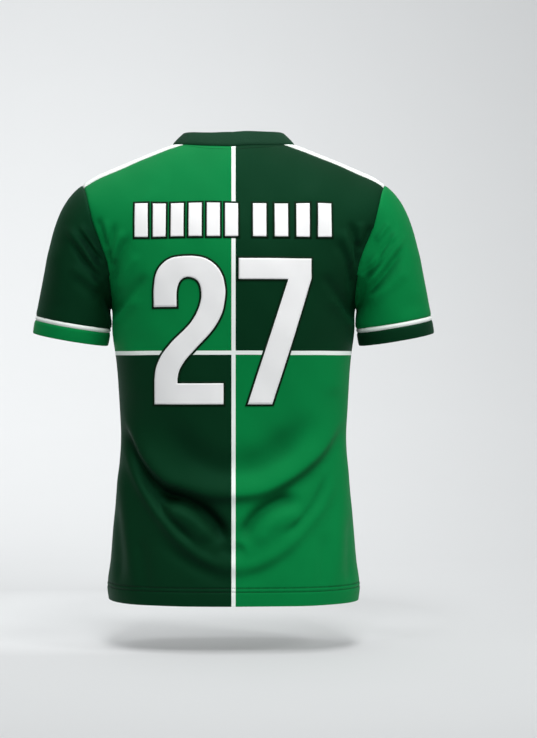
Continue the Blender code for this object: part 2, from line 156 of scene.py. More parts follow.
SIDE_FADE = 0.030         # depth over which a crease fades in from the garment's edge
CREASE_FADE = 0.24        # the part of a crease's length over which it rises
SEAM_GAP = 0.00004        # between two pieces that are sewn together
SEAM_DITCH = 0.0011       # how deep the cloth rolls in at a seam
SEAM_ROLL = 0.0020        # over what breadth
FEATHER = 0.018           # how far from a seam the two pieces' directions are evened out
STRIPE_HEIGHT = -0.3333   # middle of the printed cross stripe
HEM_FOLD = 0.0320         # what the finer rows at the hem take up
HEM_TURN = 0.0300         # height of the cloth turned up inside the hem
HEM_STEP = 0.0030         # over what height its swell dies away
HEM_SWELL = 0.0005
HEM_LINES = (0.0215, 0.0275)      # twin needle rows, up from the hem
HEM_GROOVE = (0.0011, 0.0013)     # depth and breadth of the groove at each of them
HEM_PUCKER = (0.00016, 0.0060)    # height of the gathers between them, and how far they reach
UNDERARM_SWELL = 0.0016   # of the sleeve's inner side
SWELLS = {                # between seams: height, and the power of its arch
    "shoulder_band": (0.0, 1.0), "cuff_tape": (0.0002, 1.0), "cuff": (0.0005, 0.5),
    "collar": (0.0007, 0.6)}
BAND_LINE = 0.0022        # shoulder band stitches, from the band's edge
STITCH_PITCH = 1.25       # from one stitch to the next, in stitches
NECK_LINES = {"back": 0.0074, "front": 0.0045}      # stitches under the neck seam, mid neck
NECK_LINE_END = 0.0016    # and at its ends
NECK_LINE_REACH = 0.9     # the part of the neck's half width that they run over
STITCH_SIDES = 5
STITCH_BREADTH = 1.25     # of a stitch, in thicknesses of thread
FILM_GAP = 0.00025        # from the cloth to the number's dark film
EDGE_GAP = 0.00005        # from the dark film to the white one
MITRE = 0.35              # how blunt the margin's corners are kept, at the least
UNDERSIDE_SHADE = (0.70, 0.9)         # how dark the painted shade on a fold's underside gets, and at what slope
TROUGH_SHADE = (0.40, 0.012)          # how dark the painted shade in a trough gets, and at what depth
GROOVE_SHADE = (0.50, 0.0006)         # the same for the painted shade in a stitched groove

# ---- where the creases lie
# In millimetres: breadth above and below the line, height at its start and end, and the line's
# points, as place across and height. Ridges stand out (+) and troughs go in (-).

BACK_CREASES = [
    # the swag over the small of the back, steep underneath, and the hollow above it
    (22, 11, 11.2, 6, [(-180, -398), (-155, -462), (-128, -508), (-95, -537), (-52, -550),
        (-4, -553), (48, -545), (97, -518), (134, -485), (159, -447), (175, -402)]),
    (26, 22, -4.8, -8.5, [(-128, -420), (-84, -474), (-40, -503), (0, -511), (50, -498), (92, -466),
        (126, -420)]),
    (8, 12, -10, -9, [(-178, -440), (-157, -488), (-134, -525), (-108, -549), (-76, -566)]),
    (9, 12, -3.6, -3.4, [(175, -436), (153, -488), (124, -520), (89, -544), (55, -560)]),
    # eyebrow creases and the swells under them
    (11, 12, -14.6, -14.2, [(-128, -561), (-108, -556), (-88, -556), (-61, -567.5), (-38, -586),
        (-20, -607), (-4, -634)]),
    (15, 20, 8, 6, [(-116, -580), (-84, -585), (-56, -602), (-34, -630)]),
    (11, 14, -9.6, -8.4, [(6, -630), (29, -594), (48, -576), (76, -563), (112, -561)]),
    (14, 17, 4, 4.5, [(28, -632), (52, -604), (80, -588), (116, -582)]),
    (12, 10, -4, -4, [(-24, -630), (-2, -640), (18, -630)]),
    # the second swag, nearer the seat, with a thin crease inside it at the left
    (9, 8, 6, 4.6, [(-180, -445), (-169, -482), (-156, -516), (-138, -553), (-111, -594),
        (-84, -623), (-52, -648), (-15, -663), (21, -662)]),
    (10, 10, 3, 2.6, [(-30, -660), (21, -662), (57, -648), (94, -623), (130, -585), (153, -548),
        (168, -500)]),
    (6, 6, -4.8, -4, [(-152, -500), (-134, -540), (-108, -580), (-78, -612), (-50, -636)]),
    (5, 5, 2, 1.8, [(-146, -520), (-124, -552), (-100, -578)]),
    (7, 7, -2.4, -3, [(150, -512), (134, -556), (104, -596), (70, -622)]),
    (9, 12, -4.4, -0.8, [(-132, -606), (-92, -643), (-52, -667), (-15, -681), (21, -680),
        (57, -668), (94, -645), (126, -612)]),
    # the skirt's sides
    (12, 10, 3.4, 3.6, [(-182, -500), (-168, -580), (-160, -650), (-158, -712)]),
    (8, 8, -2.6, -3, [(-188, -560), (-180, -630), (-181, -706)]),
    (10, 10, -2.2, -2.4, [(-150, -620), (-138, -665), (-134, -706)]),
    (12, 12, 3, 3, [(184, -480), (170, -570), (163, -640), (164, -708)]),
    (8, 8, -2.2, -2.6, [(190, -580), (182, -640), (186, -706)]),
    (10, 10, -1.8, -2, [(146, -610), (138, -660), (136, -704)]),
    # drags from the back armpits
    (5, 5, -2.6, -3.6, [(-213, -120), (-204, -148), (-198, -176)]),
    (6, 6, 2, 2.8, [(-202, -122), (-197, -150), (-193, -182)]),
    (5, 6, -2.6, -4.2, [(-182, -128), (-190, -152), (-195, -178), (-196, -205)]),
    (6, 7, 2, 3.4, [(-170, -140), (-182, -166), (-190, -198)]),
    (7, 7, -2.6, -4.2, [(-156, -146), (-172, -172), (-184, -200), (-192, -234)]),
    (8, 8, 1.8, 3, [(-146, -178), (-166, -204), (-184, -240)]),
    (9, 8, -3, -4.6, [(-130, -212), (-152, -232), (-174, -253), (-193, -280)]),
    (8, 8, 2, 3, [(-142, -246), (-166, -266), (-190, -294)]),
    (6, 6, -3.6, -6.2, [(180, -126), (186, -150), (192, -174), (195, -204)]),
    (5, 5, -3, -4.6, [(216, -132), (206, -154), (198, -178)]),
    (6, 6, 2.2, 3, [(198, -128), (197, -146), (195, -166)]),
    (7, 7, 2.2, 3.8, [(168, -140), (178, -170), (188, -204)]),
    (7, 7, -2.6, -5, [(154, -152), (170, -180), (183, -208), (192, -240)]),
    (9, 8, -3, -5.2, [(134, -208), (152, -230), (174, -254), (193, -284)]),
    (8, 8, 2, 3, [(146, -246), (168, -268), (190, -298)]),
    # the valleys along the lower armholes
    (15, 15, -2, -5, [(-222, -125), (-212, -157), (-204, -180), (-198.5, -211), (-197, -240),
        (-196, -290)]),
    (15, 15, -2, -5.6, [(222, -125), (212, -157), (204, -180), (198.5, -211), (197, -240),
        (196, -290)]),
    # slack across the upper back
    (16, 16, 2, 2, [(-118, -70), (-146, -120), (-160, -180)]),
    (16, 16, 1.8, 1.8, [(112, -66), (142, -116), (158, -176)]),
    (18, 18, 2.2, 2, [(-150, -310), (-160, -360), (-150, -410)]),
    (18, 18, 2, 2, [(150, -310), (162, -360), (154, -405)]),
    # sleeve on the left
    (8, 6, 3.5, 5, [(-264, -132), (-246, -157), (-234.5, -173), (-220, -195), (-208, -216)]),
    (6, 6, -3.4, -5.5, [(-256, -154), (-234.5, -187), (-220, -203), (-206, -226)]),
    (6, 5, 3, 3.6, [(-242, -130), (-228, -150), (-219, -164), (-209, -183)]),
    (5, 5, -3, -4.4, [(-240, -145), (-225.5, -166), (-216, -180), (-206, -198)]),
    (9, 10, -2.6, -3.8, [(-248, -212), (-227, -233), (-204, -246)]),
    (8, 9, 2.4, 3.4, [(-256, -192), (-234, -216), (-206, -236)]),
    (20, 20, 2.2, 2, [(-284, -160), (-278, -215), (-284, -262)]),
    # sleeve on the right
    (7, 5, 3.4, 4.4, [(262, -138), (240, -166), (228, -184), (217, -196), (206, -211)]),
    (5, 5, -3.6, -5, [(250, -150), (233.5, -173), (224, -190), (213, -203), (204, -216)]),
    (8, 6, 3.4, 4.8, [(272, -144), (246, -181), (231.5, -202), (214, -224), (203, -238)]),
    (7, 7, -3.6, -5, [(268, -166), (240, -203), (222, -225), (205, -243)]),
    (6, 5, 2.2, 2.6, [(246, -128), (232, -146), (222, -160)]),
    (10, 10, 2.4, 3.4, [(274, -196), (240, -232), (204, -256)]),
    (20, 20, 2.2, 2, [(286, -160), (280, -215), (287, -262)]),
]
FRONT_CREASES = [
    # belly swags
    (20, 12, 7, 6, [(-172, -420), (-130, -496), (-80, -534), (-20, -552), (46, -545), (104, -512),
        (148, -462), (170, -412)]),
    (24, 22, -3.8, -3.8, [(-118, -440), (-60, -494), (4, -514), (66, -494), (120, -440)]),
    (8, 8, 4.4, 5.2, [(-172, -500), (-130, -572), (-76, -622), (-16, -650), (50, -648), (106, -610),
        (150, -548), (168, -490)]),
    (10, 10, -5.6, -6, [(-116, -566), (-70, -566), (-34, -588), (-8, -622)]),
    (9, 10, -5.2, -6, [(18, -616), (44, -582), (80, -566), (116, -572)]),
    (14, 16, 4, 4, [(-96, -588), (-58, -602), (-30, -634)]),
    (14, 16, 3.6, 4, [(36, -630), (66, -600), (104, -592)]),
    (9, 12, -3.6, -4, [(-124, -612), (-70, -654), (-4, -676), (62, -666), (118, -622)]),
    (12, 12, 3, 3.4, [(-184, -480), (-170, -590), (-166, -706)]),
    (12, 12, 3, 3.4, [(184, -490), (168, -600), (160, -706)]),
    (8, 8, -2.4, -2.6, [(188, -580), (182, -640), (184, -704)]),
    (8, 8, -2.2, -2.4, [(-188, -590), (-186, -650), (-188, -704)]),
    # drags from the armpits and the shoulders
    (15, 15, -2, -4.4, [(-214, -130), (-202, -160), (-195, -190), (-192, -225), (-194, -285)]),
    (15, 15, -2, -4.4, [(214, -130), (202, -160), (195, -190), (192, -225), (194, -285)]),
    (7, 7, -2.8, -5, [(-118, -196), (-142, -222), (-166, -246), (-190, -280)]),
    (7, 7, 2.2, 3.6, [(-124, -228), (-150, -252), (-186, -294)]),
    (7, 7, -2.6, -4.4, [(-136, -146), (-156, -176), (-174, -208), (-187, -244)]),
    (6, 6, 2.2, 3.2, [(-152, -136), (-168, -166), (-183, -204)]),
    (6, 6, -2.4, -3.8, [(-168, -118), (-178, -148), (-188, -184)]),
    (7, 7, -2.8, -4.8, [(124, -200), (148, -226), (170, -252), (190, -284)]),
    (7, 7, 2.2, 3.4, [(136, -180), (162, -214), (185, -254)]),
    (6, 6, -2.6, -4.2, [(146, -134), (162, -164), (176, -196), (187, -232)]),
    (6, 6, 2, 3, [(162, -118), (176, -150), (187, -190)]),
    (14, 14, 2.4, 1.6, [(-106, -50), (-92, -120), (-66, -200)]),
    (14, 14, 2.2, 1.6, [(108, -50), (90, -124), (68, -206)]),
    (10, 10, -1.8, -1.8, [(-50, -98), (0, -116), (48, -98)]),
    # sleeves
    (7, 6, 3.4, 4.6, [(-268, -138), (-238, -172), (-208, -206)]),
    (6, 6, -3.4, -5, [(-264, -156), (-236, -190), (-206, -224)]),
    (8, 7, 2.8, 3.8, [(-272, -178), (-238, -212), (-205, -240)]),
    (20, 20, 2.2, 2, [(-286, -165), (-280, -215), (-286, -262)]),
    (7, 6, 3.4, 4.6, [(260, -132), (234, -166), (207, -204)]),
    (6, 6, -3.4, -5, [(262, -152), (234, -186), (205, -222)]),
    (8, 8, 3, 4, [(276, -168), (240, -206), (204, -244)]),
    (20, 20, 2.2, 2, [(288, -165), (281, -215), (288, -262)]),
]

# Long soft waves that keep the cloth from lying too true.
SLACK = [
    # waves per metre across, and up, phase, height
    (4.2, 3.1, 0.7, 0.0011),
    (7.5, -4.6, 2.1, 0.0007),
    (-11.0, 6.8, 4.0, 0.0004),
    (15.0, 13.0, 1.3, 0.00022),
]

# ---- numerals and blocks

MILLIMETRES = (1000, 1000, 1000, 1000, 1)      # to a metre, and plain steps

TWO = np.array([
    # outer x and z and inner x and z, in millimetres, and steps to the next pair
    (-123, -262.5, -88, -262.5, 8),
    (-122.5, -230.5, -87.5, -236.5, 5),
    (-119, -210.5, -84, -225, 5),
    (-110.5, -197, -78.5, -219, 5),
    (-97, -188, -73.5, -217, 5),
    (-80.5, -185, -70, -216.5, 6),
    (-56.5, -185, -64, -217.5, 5),
    (-40.5, -189.5, -58.5, -220, 5),
    (-26, -200.5, -53.5, -225, 5),
    (-17, -215, -50.5, -233, 5),
    (-13, -233, -49.5, -242, 5),
    (-13, -247.5, -50, -252, 5),
    (-17, -269.5, -54, -266, 6),
    (-27.5, -291, -64, -284.5, 12),
    (-60.5, -329, -98, -320, 6),
    (-75, -345.5, -112, -338.5, 5),
    (-83.5, -360, -119.5, -356.5, 5),
    (-86.5, -372.5, -122, -374.5, 8),
    (-86.5, -380.5, -122.5, -413, 22),
    (-15.5, -380.5, -15.5, -413, 1),
]) / MILLIMETRES
SEVEN = np.array([
    (8, -188, 8, -220, 24),
    (84, -188, 83.5, -220, 12),
    (120.5, -188, 84, -220.5, 8),
    (120.5, -219, 83.5, -223, 50),
    (60, -413, 22, -413, 1),
]) / MILLIMETRES
BLOCK_TOP = -0.102
BLOCK_FOOT = -0.154
BLOCK_GROUPS = [
    # left edge, blocks, pitch, width of a block
    (-0.1530, 6, 0.0280, 0.0200),
    (0.0300, 4, 0.0336, 0.0207),
]

# ---- the stage

EYE_DISTANCE = 3.0
FRAME_HEIGHT = 1.1808     # of the picture, at the garment's middle
EYE_HEIGHT = -0.3584
SENSOR = 36.0
SHIFT = 0.0474
FLOOR_Z = -0.800

LIGHTS = [
    # name, place, aim, size, power, spread in degrees
    ("key", (0.1, -2.3, 2.5), (0.0, 0.0, -0.38), (1.1, 1.1), 6.8, 55),
    ("high", (0.3, -1.2, 3.2), (0.0, 0.0, -0.38), (0.9, 0.9), 3.1, 55),
    ("side", (2.4, -1.5, 1.3), (0.1, 0.0, -0.35), (0.9, 0.9), 3.4, 55),
    ("top", (-0.5, 0.3, 2.4), (-0.5, 0.3, -0.8), (3.2, 3.2), 47, 180),
    ("wash", (-1.2, 0.9, 2.0), (-0.3, 4.8, 0.0), (2.4, 1.0), 74, 138),
]


# ---- settings

def size_setting(label, tip, value):
    return bpy.props.FloatProperty(name=label, description=tip, default=value, unit="LENGTH")


def colour_setting(label, tip, *value):
    return bpy.props.FloatVectorProperty(
        name=label, description=tip, subtype="COLOR", default=value)


class JerseySizes(bpy.types.PropertyGroup):
    """Sizes of the cloth and of what is printed and sewn on it."""

    cloth: size_setting("Cloth", "Wall of the knit", 0.0011)
    rib: size_setting("Collar", "Wall of the collar band", 0.0021)
    stripe: size_setting("Stripe", "Breadth of the white cross stripes", 0.0064)
    outline: size_setting("Outline", "Dark edge round the number", 0.0032)
    transfer: size_setting("Transfer", "Thickness of the number's film", 0.0003)
    stitch: size_setting("Stitch", "Length of one stitch", 0.0026)
    thread: size_setting("Thread", "Thickness of the sewing thread", 0.0008)


class JerseyColours(bpy.types.PropertyGroup):
    """Colours of the garment."""

    light: colour_setting("Light green", "Lighter quarters", 0.0020, 0.190, 0.0450)
    dark: colour_setting("Dark green", "Darker quarters", 0.0020, 0.0222, 0.0070)
    collar: colour_setting("Collar", "Collar rib", 0.0025, 0.0290, 0.0110)
    white: colour_setting("White", "Stripes, tapes and shoulder bands", 0.86, 0.91, 0.87)
    film: colour_setting("Number", "Film of the number and blocks", 0.88, 0.88, 0.88)
    edge: colour_setting("Number edge", "Dark edge of the number", 0.0035, 0.0180, 0.0070)
    floor: colour_setting("Floor", "Floor and backdrop", 0.466, 0.475, 0.480)


def sizes():
    return bpy.context.scene.jersey_sizes


def colours():
    return bpy.context.scene.jersey_colours


# ---- curves

def smooth(value):
    """0 to 1 with level ends."""
    value = np.clip(value, 0, 1)
    return value * value * (3 - 2 * value)


def bent_span(t, start, end, leave, arrive):
    """A point t of the way along a smooth span with these directions at its ends."""
    return (start * (1 + 2 * t) * (1 - t) ** 2 + end * (3 - 2 * t) * t ** 2
            + leave * t * (1 - t) ** 2 - arrive * (1 - t) * t ** 2)


def through(table, column, height):
    """A smooth curve through one column of a table whose first column is the height."""
    keys, values = table[:, 0], table[:, column]
    height = np.clip(height, keys[0], keys[-1])
    i = np.clip(np.searchsorted(keys, height) - 1, 0, len(keys) - 2)
    span = keys[i + 1] - keys[i]
    slopes = np.gradient(values, keys)
    return bent_span((height - keys[i]) / span, values[i], values[i + 1],
                     span * slopes[i], span * slopes[i + 1])


def curve_through(points, steps=6):
    """A smooth line through the given points."""
    p = np.vstack((2 * points[0] - points[1], points, 2 * points[-1] - points[-2]))
    t = np.linspace(0, 1, steps, endpoint=False)[:, None]
    spans = [bent_span(t, b, c, (c - a) / 2, (d - b) / 2)
             for a, b, c, d in zip(p, p[1:], p[2:], p[3:])]
    return np.vstack(spans + [points[-1:]])


def run_along(points):
    """How far along a line each of its points is."""
    return np.concatenate(((0,), np.cumsum(np.linalg.norm(np.diff(points, axis=0), axis=1))))


def both_ways(half):
    """Places on both sides of the middle, from those on one side."""
    return np.concatenate((-half[:0:-1], half))


def unit(vectors):
    return vectors / np.linalg.norm(vectors, axis=-1)[..., None]


# ---- the trunk's form

def ridge(x):
    """Height of the shoulder's top line."""
    run = np.hypot(x, NECK_BLEND) - math.hypot(NECK_HALF, NECK_BLEND)
    return -SHOULDER_SLOPE * run - DROOP * np.maximum(0, np.abs(x) - DROOP_START) ** 2


def on_trunk(x, z, side):
    """Points of the trunk's surface: side is -1 for the back and 1 for the front."""
    half = through(TRUNK, 1, z)
    depth = through(TRUNK, 2 if side < 0 else 3, z)
    across = (1 - np.minimum(1, np.abs(x) / half) ** SQUARENESS) ** (1 / SQUARENESS)
    outward = np.clip((np.abs(x) - NECK_HALF) / (TIP_HALF - NECK_HALF), 0, 1)
    rounding = ROUND_NECK + (ROUND_TIP - ROUND_NECK) * outward
    fall = np.clip((ridge(x) - z) / rounding, 0, 1)
    over = np.sqrt(1 - (1 - fall) ** 2)
    return np.stack((x, side * depth * across * over, z), axis=-1)


def neck_line(x, side):
    """Height of the neck seam."""
    deepest, curve = NECK_FALL[side]
    return ridge(x) - deepest * (1 - np.minimum(1, np.abs(x) / NECK_HALF) ** curve)


def neck_half_at(fall, side):
    """Half width of the neck seam where it lies this far below the ridge."""
    deepest, curve = NECK_FALL[side]
    return NECK_HALF * (1 - fall / deepest) ** (1 / curve)


def armhole_half(z, side):
    """Half width of the armhole seam."""
    return through(ARMHOLE, 1 if side < 0 else 2, z)


def band_ends(across):
    """Neck end and tip end of a line along the shoulder band, each as (half width, fall)."""
    side = -1 if across < 0 else 1
    at_neck = BAND_DROP_NECK[side] * across * across
    at_tip = BAND_DROP_TIP[side] * across * across
    tip_half = TIP_HALF
    for _ in range(SETTLE):
        tip_half = armhole_half(ridge(tip_half) - at_tip, side)
    return (neck_half_at(at_neck, side), at_neck), (tip_half, at_tip)


# ---- grids

def share_out(corner, edge):
    """Places from -edge to edge, with one of them exactly on each corner."""
    inner = np.linspace(0, corner, COLS_NECK + 1)
    outer = np.linspace(corner, edge, COLS_SHOULDER + 1)[1:]
    return both_ways(np.concatenate((inner, outer)))


def section_places(edge, height_at, side):
    """Places across a trunk section that are evenly spaced along the cloth."""
    x = edge * np.sin(np.linspace(0, math.pi / 2, 300))
    run = run_along(on_trunk(x, height_at(x), side))
    even = np.linspace(0, run[-1], COLS_NECK + COLS_SHOULDER + 1)
    return both_ways(np.interp(even, run, x))


def row_heights(underarm):
    """Heights of a panel's rows up to the underarm, close together in the hem."""
    hem = TRUNK[0, 0]
    low = np.linspace(hem, hem + HEM_FOLD, ROWS_HEM, endpoint=False)
    return np.concatenate((low, np.linspace(hem + HEM_FOLD, underarm, ROWS_BODY - ROWS_HEM + 1)))


def panel(side):
    """The back (-1) or front (1) panel, as rows from the hem up."""
    (neck_point, neck_drop), (tip, tip_drop) = band_ends(side)
    underarm = ARMHOLE[0, 0]
    rows = []
    for z in row_heights(underarm):
        places = section_places(through(TRUNK, 1, z), lambda x, z=z: np.full_like(x, z), side)
        rows.append(on_trunk(places, np.full_like(places, z), side))

    def top(x):
        along = np.clip((np.abs(x) - neck_point) / (tip - neck_point), 0, 1)
        shoulder = ridge(x) - (neck_drop + (tip_drop - neck_drop) * along)
        return np.where(np.abs(x) <= neck_point, neck_line(x, side), shoulder)

    for step in range(1, ROWS_ARM + 1):
        rise = step / ROWS_ARM
        edge = ARMHOLE[0, 1]
        for _ in range(SETTLE):
            edge = armhole_half(underarm + rise * (top(edge) - underarm), side)
        by_cloth = section_places(edge, lambda x: underarm + rise * (top(x) - underarm), side)
        by_width = share_out(neck_point, edge)
        places = by_cloth + rise * rise * (by_width - by_cloth)
        rows.append(on_trunk(places, underarm + rise * (top(places) - underarm), side))
    return np.array(rows)


def shoulder_band(back, front):
    """The band over the +X shoulder, as rows from its back edge over the ridge to its front."""
    rows = []
    for across in np.linspace(-1, 1, COLS_BAND + 1):
        (neck_half, neck_drop), (tip_half, tip_drop) = band_ends(across)
        x = np.linspace(neck_half, tip_half, COLS_SHOULDER + 1)
        fall = np.linspace(neck_drop, tip_drop, COLS_SHOULDER + 1)
        rows.append(on_trunk(x, ridge(x) - fall, -1 if across < 0 else 1))
    rows[0] = back[-1, -COLS_SHOULDER - 1:]
    rows[-1] = front[-1, -COLS_SHOULDER - 1:]
    return np.array(rows)


def armhole_loop(back, front, band):
    """The +X armhole seam from the underarm up the back, over the tip and down the front."""
    up = back[ROWS_BODY:, -1]
    over = band[1:-1, -1]
    down = front[ROWS_BODY + 1:, -1][::-1]
    return np.concatenate((up, over, down))


def neck_loop(back, front, band):
    """The neck seam from the -X side across the back, and round by +X across the front."""
    corner = COLS_SHOULDER
    across_back = back[-1, corner:-corner]
    over = band[1:-1, 0]
    across_front = front[-1, corner:-corner][::-1]
    return np.concatenate((across_back, over, across_front, over[::-1] * (-1, 1, 1)))


def cuff_ring(angle, above_hem):
    """A ring of the cuff: angle 0 faces the trunk and pi / 2 faces back."""
    centre = CUFF_CENTRE - ARM_AXIS * above_hem
    outward = unit(np.array((-ARM_AXIS[2], 0.0, ARM_AXIS[0])))
    forward = np.cross(outward, ARM_AXIS)
    grow = 1 + SLEEVE_FLARE * above_hem
    wide = -np.cos(angle)[:, None] * outward * CUFF_HALF_WIDTH * grow
    deep = -np.sin(angle)[:, None] * forward * CUFF_HALF_DEPTH * grow
    return centre + wide + deep


def sleeve_rings(loop):
    """Rings of the +X sleeve from the armhole down to the tape, and the angle of each column."""
    steps = np.linalg.norm(np.roll(loop, -1, axis=0) - loop, axis=1)
    tip = int(np.argmax(loop[:, 2]))
    up = np.concatenate(((0,), np.cumsum(steps[:tip])))
    down = np.concatenate(((0,), np.cumsum(steps[tip:])))
    angle = np.concatenate((math.pi * up / up[-1], math.pi * (1 + down[1:-1] / down[-1])))
    end = cuff_ring(angle, CUFF_HEIGHT + TAPE_HEIGHT)
    chord = SLEEVE_EASE * np.linalg.norm(end - loop, axis=1)[:, None]
    high = ((1 - np.cos(angle)) / 2)[:, None]
    leave = UNDERARM_RUN + (HEAD_RUN - UNDERARM_RUN) * high
    rings = [bent_span(t, loop, end, chord * leave, chord * CUFF_RUN)
             for t in np.linspace(0, 1, ROWS_SLEEVE + 1)]
    return np.array(rings), angle


def collar_rings(loop):
    """Rings of the collar band, from the neck seam to its top edge."""
    sideways = np.abs(loop[:, 0]) / NECK_HALF
    lean = np.where(loop[:, 1] < 0, COLLAR_LEAN_BACK, COLLAR_LEAN_FRONT)
    lean = lean + (COLLAR_LEAN_SIDE - lean) * sideways ** 4
    inward = unit(np.array((0.0, loop[:, 1].mean())) - loop[:, :2])
    up = np.sqrt(COLLAR_HEIGHT ** 2 - lean ** 2) + COLLAR_LEVEL * np.cos(1.5 * math.pi * sideways)
    shift = np.column_stack((inward * lean[:, None], up))
    return np.array([loop + shift * part for part in np.linspace(0, 1, ROWS_COLLAR + 1)])


def point_normals(grid, ring):
    """Outward normals of a grid's points. A ring's columns close on themselves."""
    if ring:
        across = np.roll(grid, -1, axis=1) - np.roll(grid, 1, axis=1)
    else:
        across = np.gradient(grid, axis=1)
    return unit(np.cross(across, np.gradient(grid, axis=0)))


# ---- relief

def crease_lift(points):
    """How far the creases lift each point."""
    lift = np.zeros(len(points))
    for side, creases in ((-1, BACK_CREASES), (1, FRONT_CREASES)):
        facing = smooth(points[:, 1] * side / SIDE_FADE)
        for *profile, line in creases:
            add_crease(lift, points[:, (0, 2)], facing, profile, np.array(line) / 1000)
    return lift


def add_crease(lift, flat, facing, profile, line):
    """Add one crease to the lift of the points that are near its line."""
    above, below, start, end = np.array(profile) / 1000
    line = curve_through(line)
    if line[0, 0] > line[-1, 0]:
        line, start, end = line[::-1], end, start
    reach = 3 * max(above, below)
    near = (facing > 0) & ((flat > line.min(axis=0) - reach)
                           & (flat < line.max(axis=0) + reach)).all(axis=1)
    if not near.any():
        return
    step = np.diff(line, axis=0)
    run = run_along(line)
    away = flat[near][:, None] - line[None, :-1]
    along = np.clip((away * step).sum(axis=2) / (step ** 2).sum(axis=1), 0, 1)
    off = away - along[..., None] * step
    gap = (off ** 2).sum(axis=2)
    best = gap.argmin(axis=1)
    pick = np.arange(len(best))
    at = (run[best] + along[pick, best] * np.diff(run)[best]) / run[-1]
    turn = step[best, 0] * off[pick, best, 1] - step[best, 1] * off[pick, best, 0]
    lean = turn / (np.linalg.norm(step, axis=1)[best] * np.sqrt(gap[pick, best]) + 1e-9)
    breadth = below + (above - below) * smooth((lean + 1) / 2)
    fade = smooth(at / CREASE_FADE) * smooth((1 - at) / CREASE_FADE)
    height = start + (end - start) * at
    lift[near] += height * fade * np.exp(-gap[pick, best] / breadth ** 2) * facing[near]


def slack_lift(points):
    """Long soft waves over the whole cloth."""
    lift = np.zeros(len(points))
    for across, up, phase, height in SLACK:
        swing = 2 * math.pi * (across * points[:, 0] + up * points[:, 2]) + phase
        lift += height * np.sin(swing + 1.7 * np.sign(points[:, 1]))
    return lift * smooth(np.abs(points[:, 1]) / 0.040)


# ---- pieces of cloth

class Cloth:
    """A piece of cloth: its outside grid, and how far each point is along and up the cloth."""

    def __init__(self, grid, ring=False, seams="blrt", turned=""):
        self.grid = grid
        self.ring = ring
        self.seams = seams        # edges sewn to a neighbour: bottom, left, right, top
        self.turned = turned      # free edges, folded round: bottom, top
        self.normals = point_normals(grid, ring)
        self.hollow = np.zeros(grid.shape[:2])      # painted shade: how much the colour is darkened where the creases would shut out the light
        self.measure()

    def measure(self):
        """Lengths along rows and columns, in metres."""
        grid = self.grid
        closed = np.concatenate((grid, grid[:, :1]), axis=1) if self.ring else grid
        steps = np.linalg.norm(np.diff(grid, axis=0), axis=2)
        self.up = np.pad(np.cumsum(steps, axis=0), ((1, 0), (0, 0)))
        steps = np.linalg.norm(np.diff(closed, axis=1), axis=2)
        self.along = np.pad(np.cumsum(steps, axis=1), ((0, 0), (1, 0)))

    def from_edge(self, edge):
        """Distance of every point from one edge."""
        if edge in "bt":
            return self.up if edge == "b" else self.up[-1] - self.up
        along = self.along[:, :self.grid.shape[1]]
        return along if edge == "l" else along[:, -1:] - along

    def rim(self, edge, inset=0):
        """The index of an edge's row or column of points, or of the one inside it."""
        at = inset if edge in "bl" else -1 - inset
        return (at, slice(None)) if edge in "bt" else (slice(None), at)

    def feather(self, common):
        """Turn the normals near the seams gradually to the common ones at the seams."""
        for edge in self.seams:
            rim = self.rim(edge)
            turn = common[rim] - self.normals[rim]
            turn = turn[None] if edge in "bt" else turn[:, None]
            near = np.exp(-(self.from_edge(edge) / FEATHER) ** 2)
            self.normals = unit(self.normals + near[..., None] * turn)
        for edge in self.seams:
            self.normals[self.rim(edge)] = common[self.rim(edge)]

    def shape(self, extra):
        """Lay in the creases, the seams' ditches and the extra relief."""
        flat = self.grid.reshape(-1, 3)
        lift = (crease_lift(flat) + slack_lift(flat)).reshape(self.grid.shape[:2])
        slope = np.gradient(lift, axis=0) / np.maximum(np.gradient(self.up, axis=0), 1e-5)
        # Painted shade: the colour is to be darkened on a fold's downward slope, in its troughs and
        # in stitched grooves.
        self.hollow = darkening(slope, UNDERSIDE_SHADE) + darkening(-lift, TROUGH_SHADE)
        self.hollow = self.hollow + darkening(-extra, GROOVE_SHADE) * (1 - self.hollow)
        for edge in self.seams:
            lift = lift - SEAM_DITCH * np.exp(-(self.from_edge(edge) / SEAM_ROLL) ** 2)
        self.outside = self.draw_in(self.grid + self.normals * (lift + extra)[..., None])

    def draw_in(self, grid):
        """Leave half of the seam's gap at each sewn edge."""
        drawn = grid.copy()
        for edge in self.seams:
            run = grid[self.rim(edge, 1)] - grid[self.rim(edge)]
            drawn[self.rim(edge)] += unit(run) * SEAM_GAP / 2
        return drawn


def darkening(value, most_and_full):
    """How much light a value shuts out: the most it can, from its full value on."""
    most, full = most_and_full
    return most * smooth(value / full)


def blend_seam_normals(pieces):
    """Give points that two pieces share at a seam one common direction."""
    meeting = {}
    edges = []
    for piece in pieces:
        rows, cols = piece.grid.shape[:2]
        picks = {(r, c) for r in (0, rows - 1) for c in range(cols)}
        if not piece.ring:
            picks |= {(r, c) for c in (0, cols - 1) for r in range(rows)}
        for r, c in sorted(picks):
            place = tuple(np.round(piece.grid[r, c] * 1e5).astype(int))      # to 0.01 mm
            edges.append((piece, r, c, place))
            known = meeting.setdefault(place, [])
            if all(piece.normals[r, c] @ other < 0.5 for other in known):
                known.append(piece.normals[r, c].copy())
    common = {piece: piece.normals.copy() for piece in pieces}
    for piece, r, c, place in edges:
        common[piece][r, c] = unit(np.sum(meeting[place], axis=0))
    for piece in pieces:
        piece.feather(common[piece])


PATTERN = {}


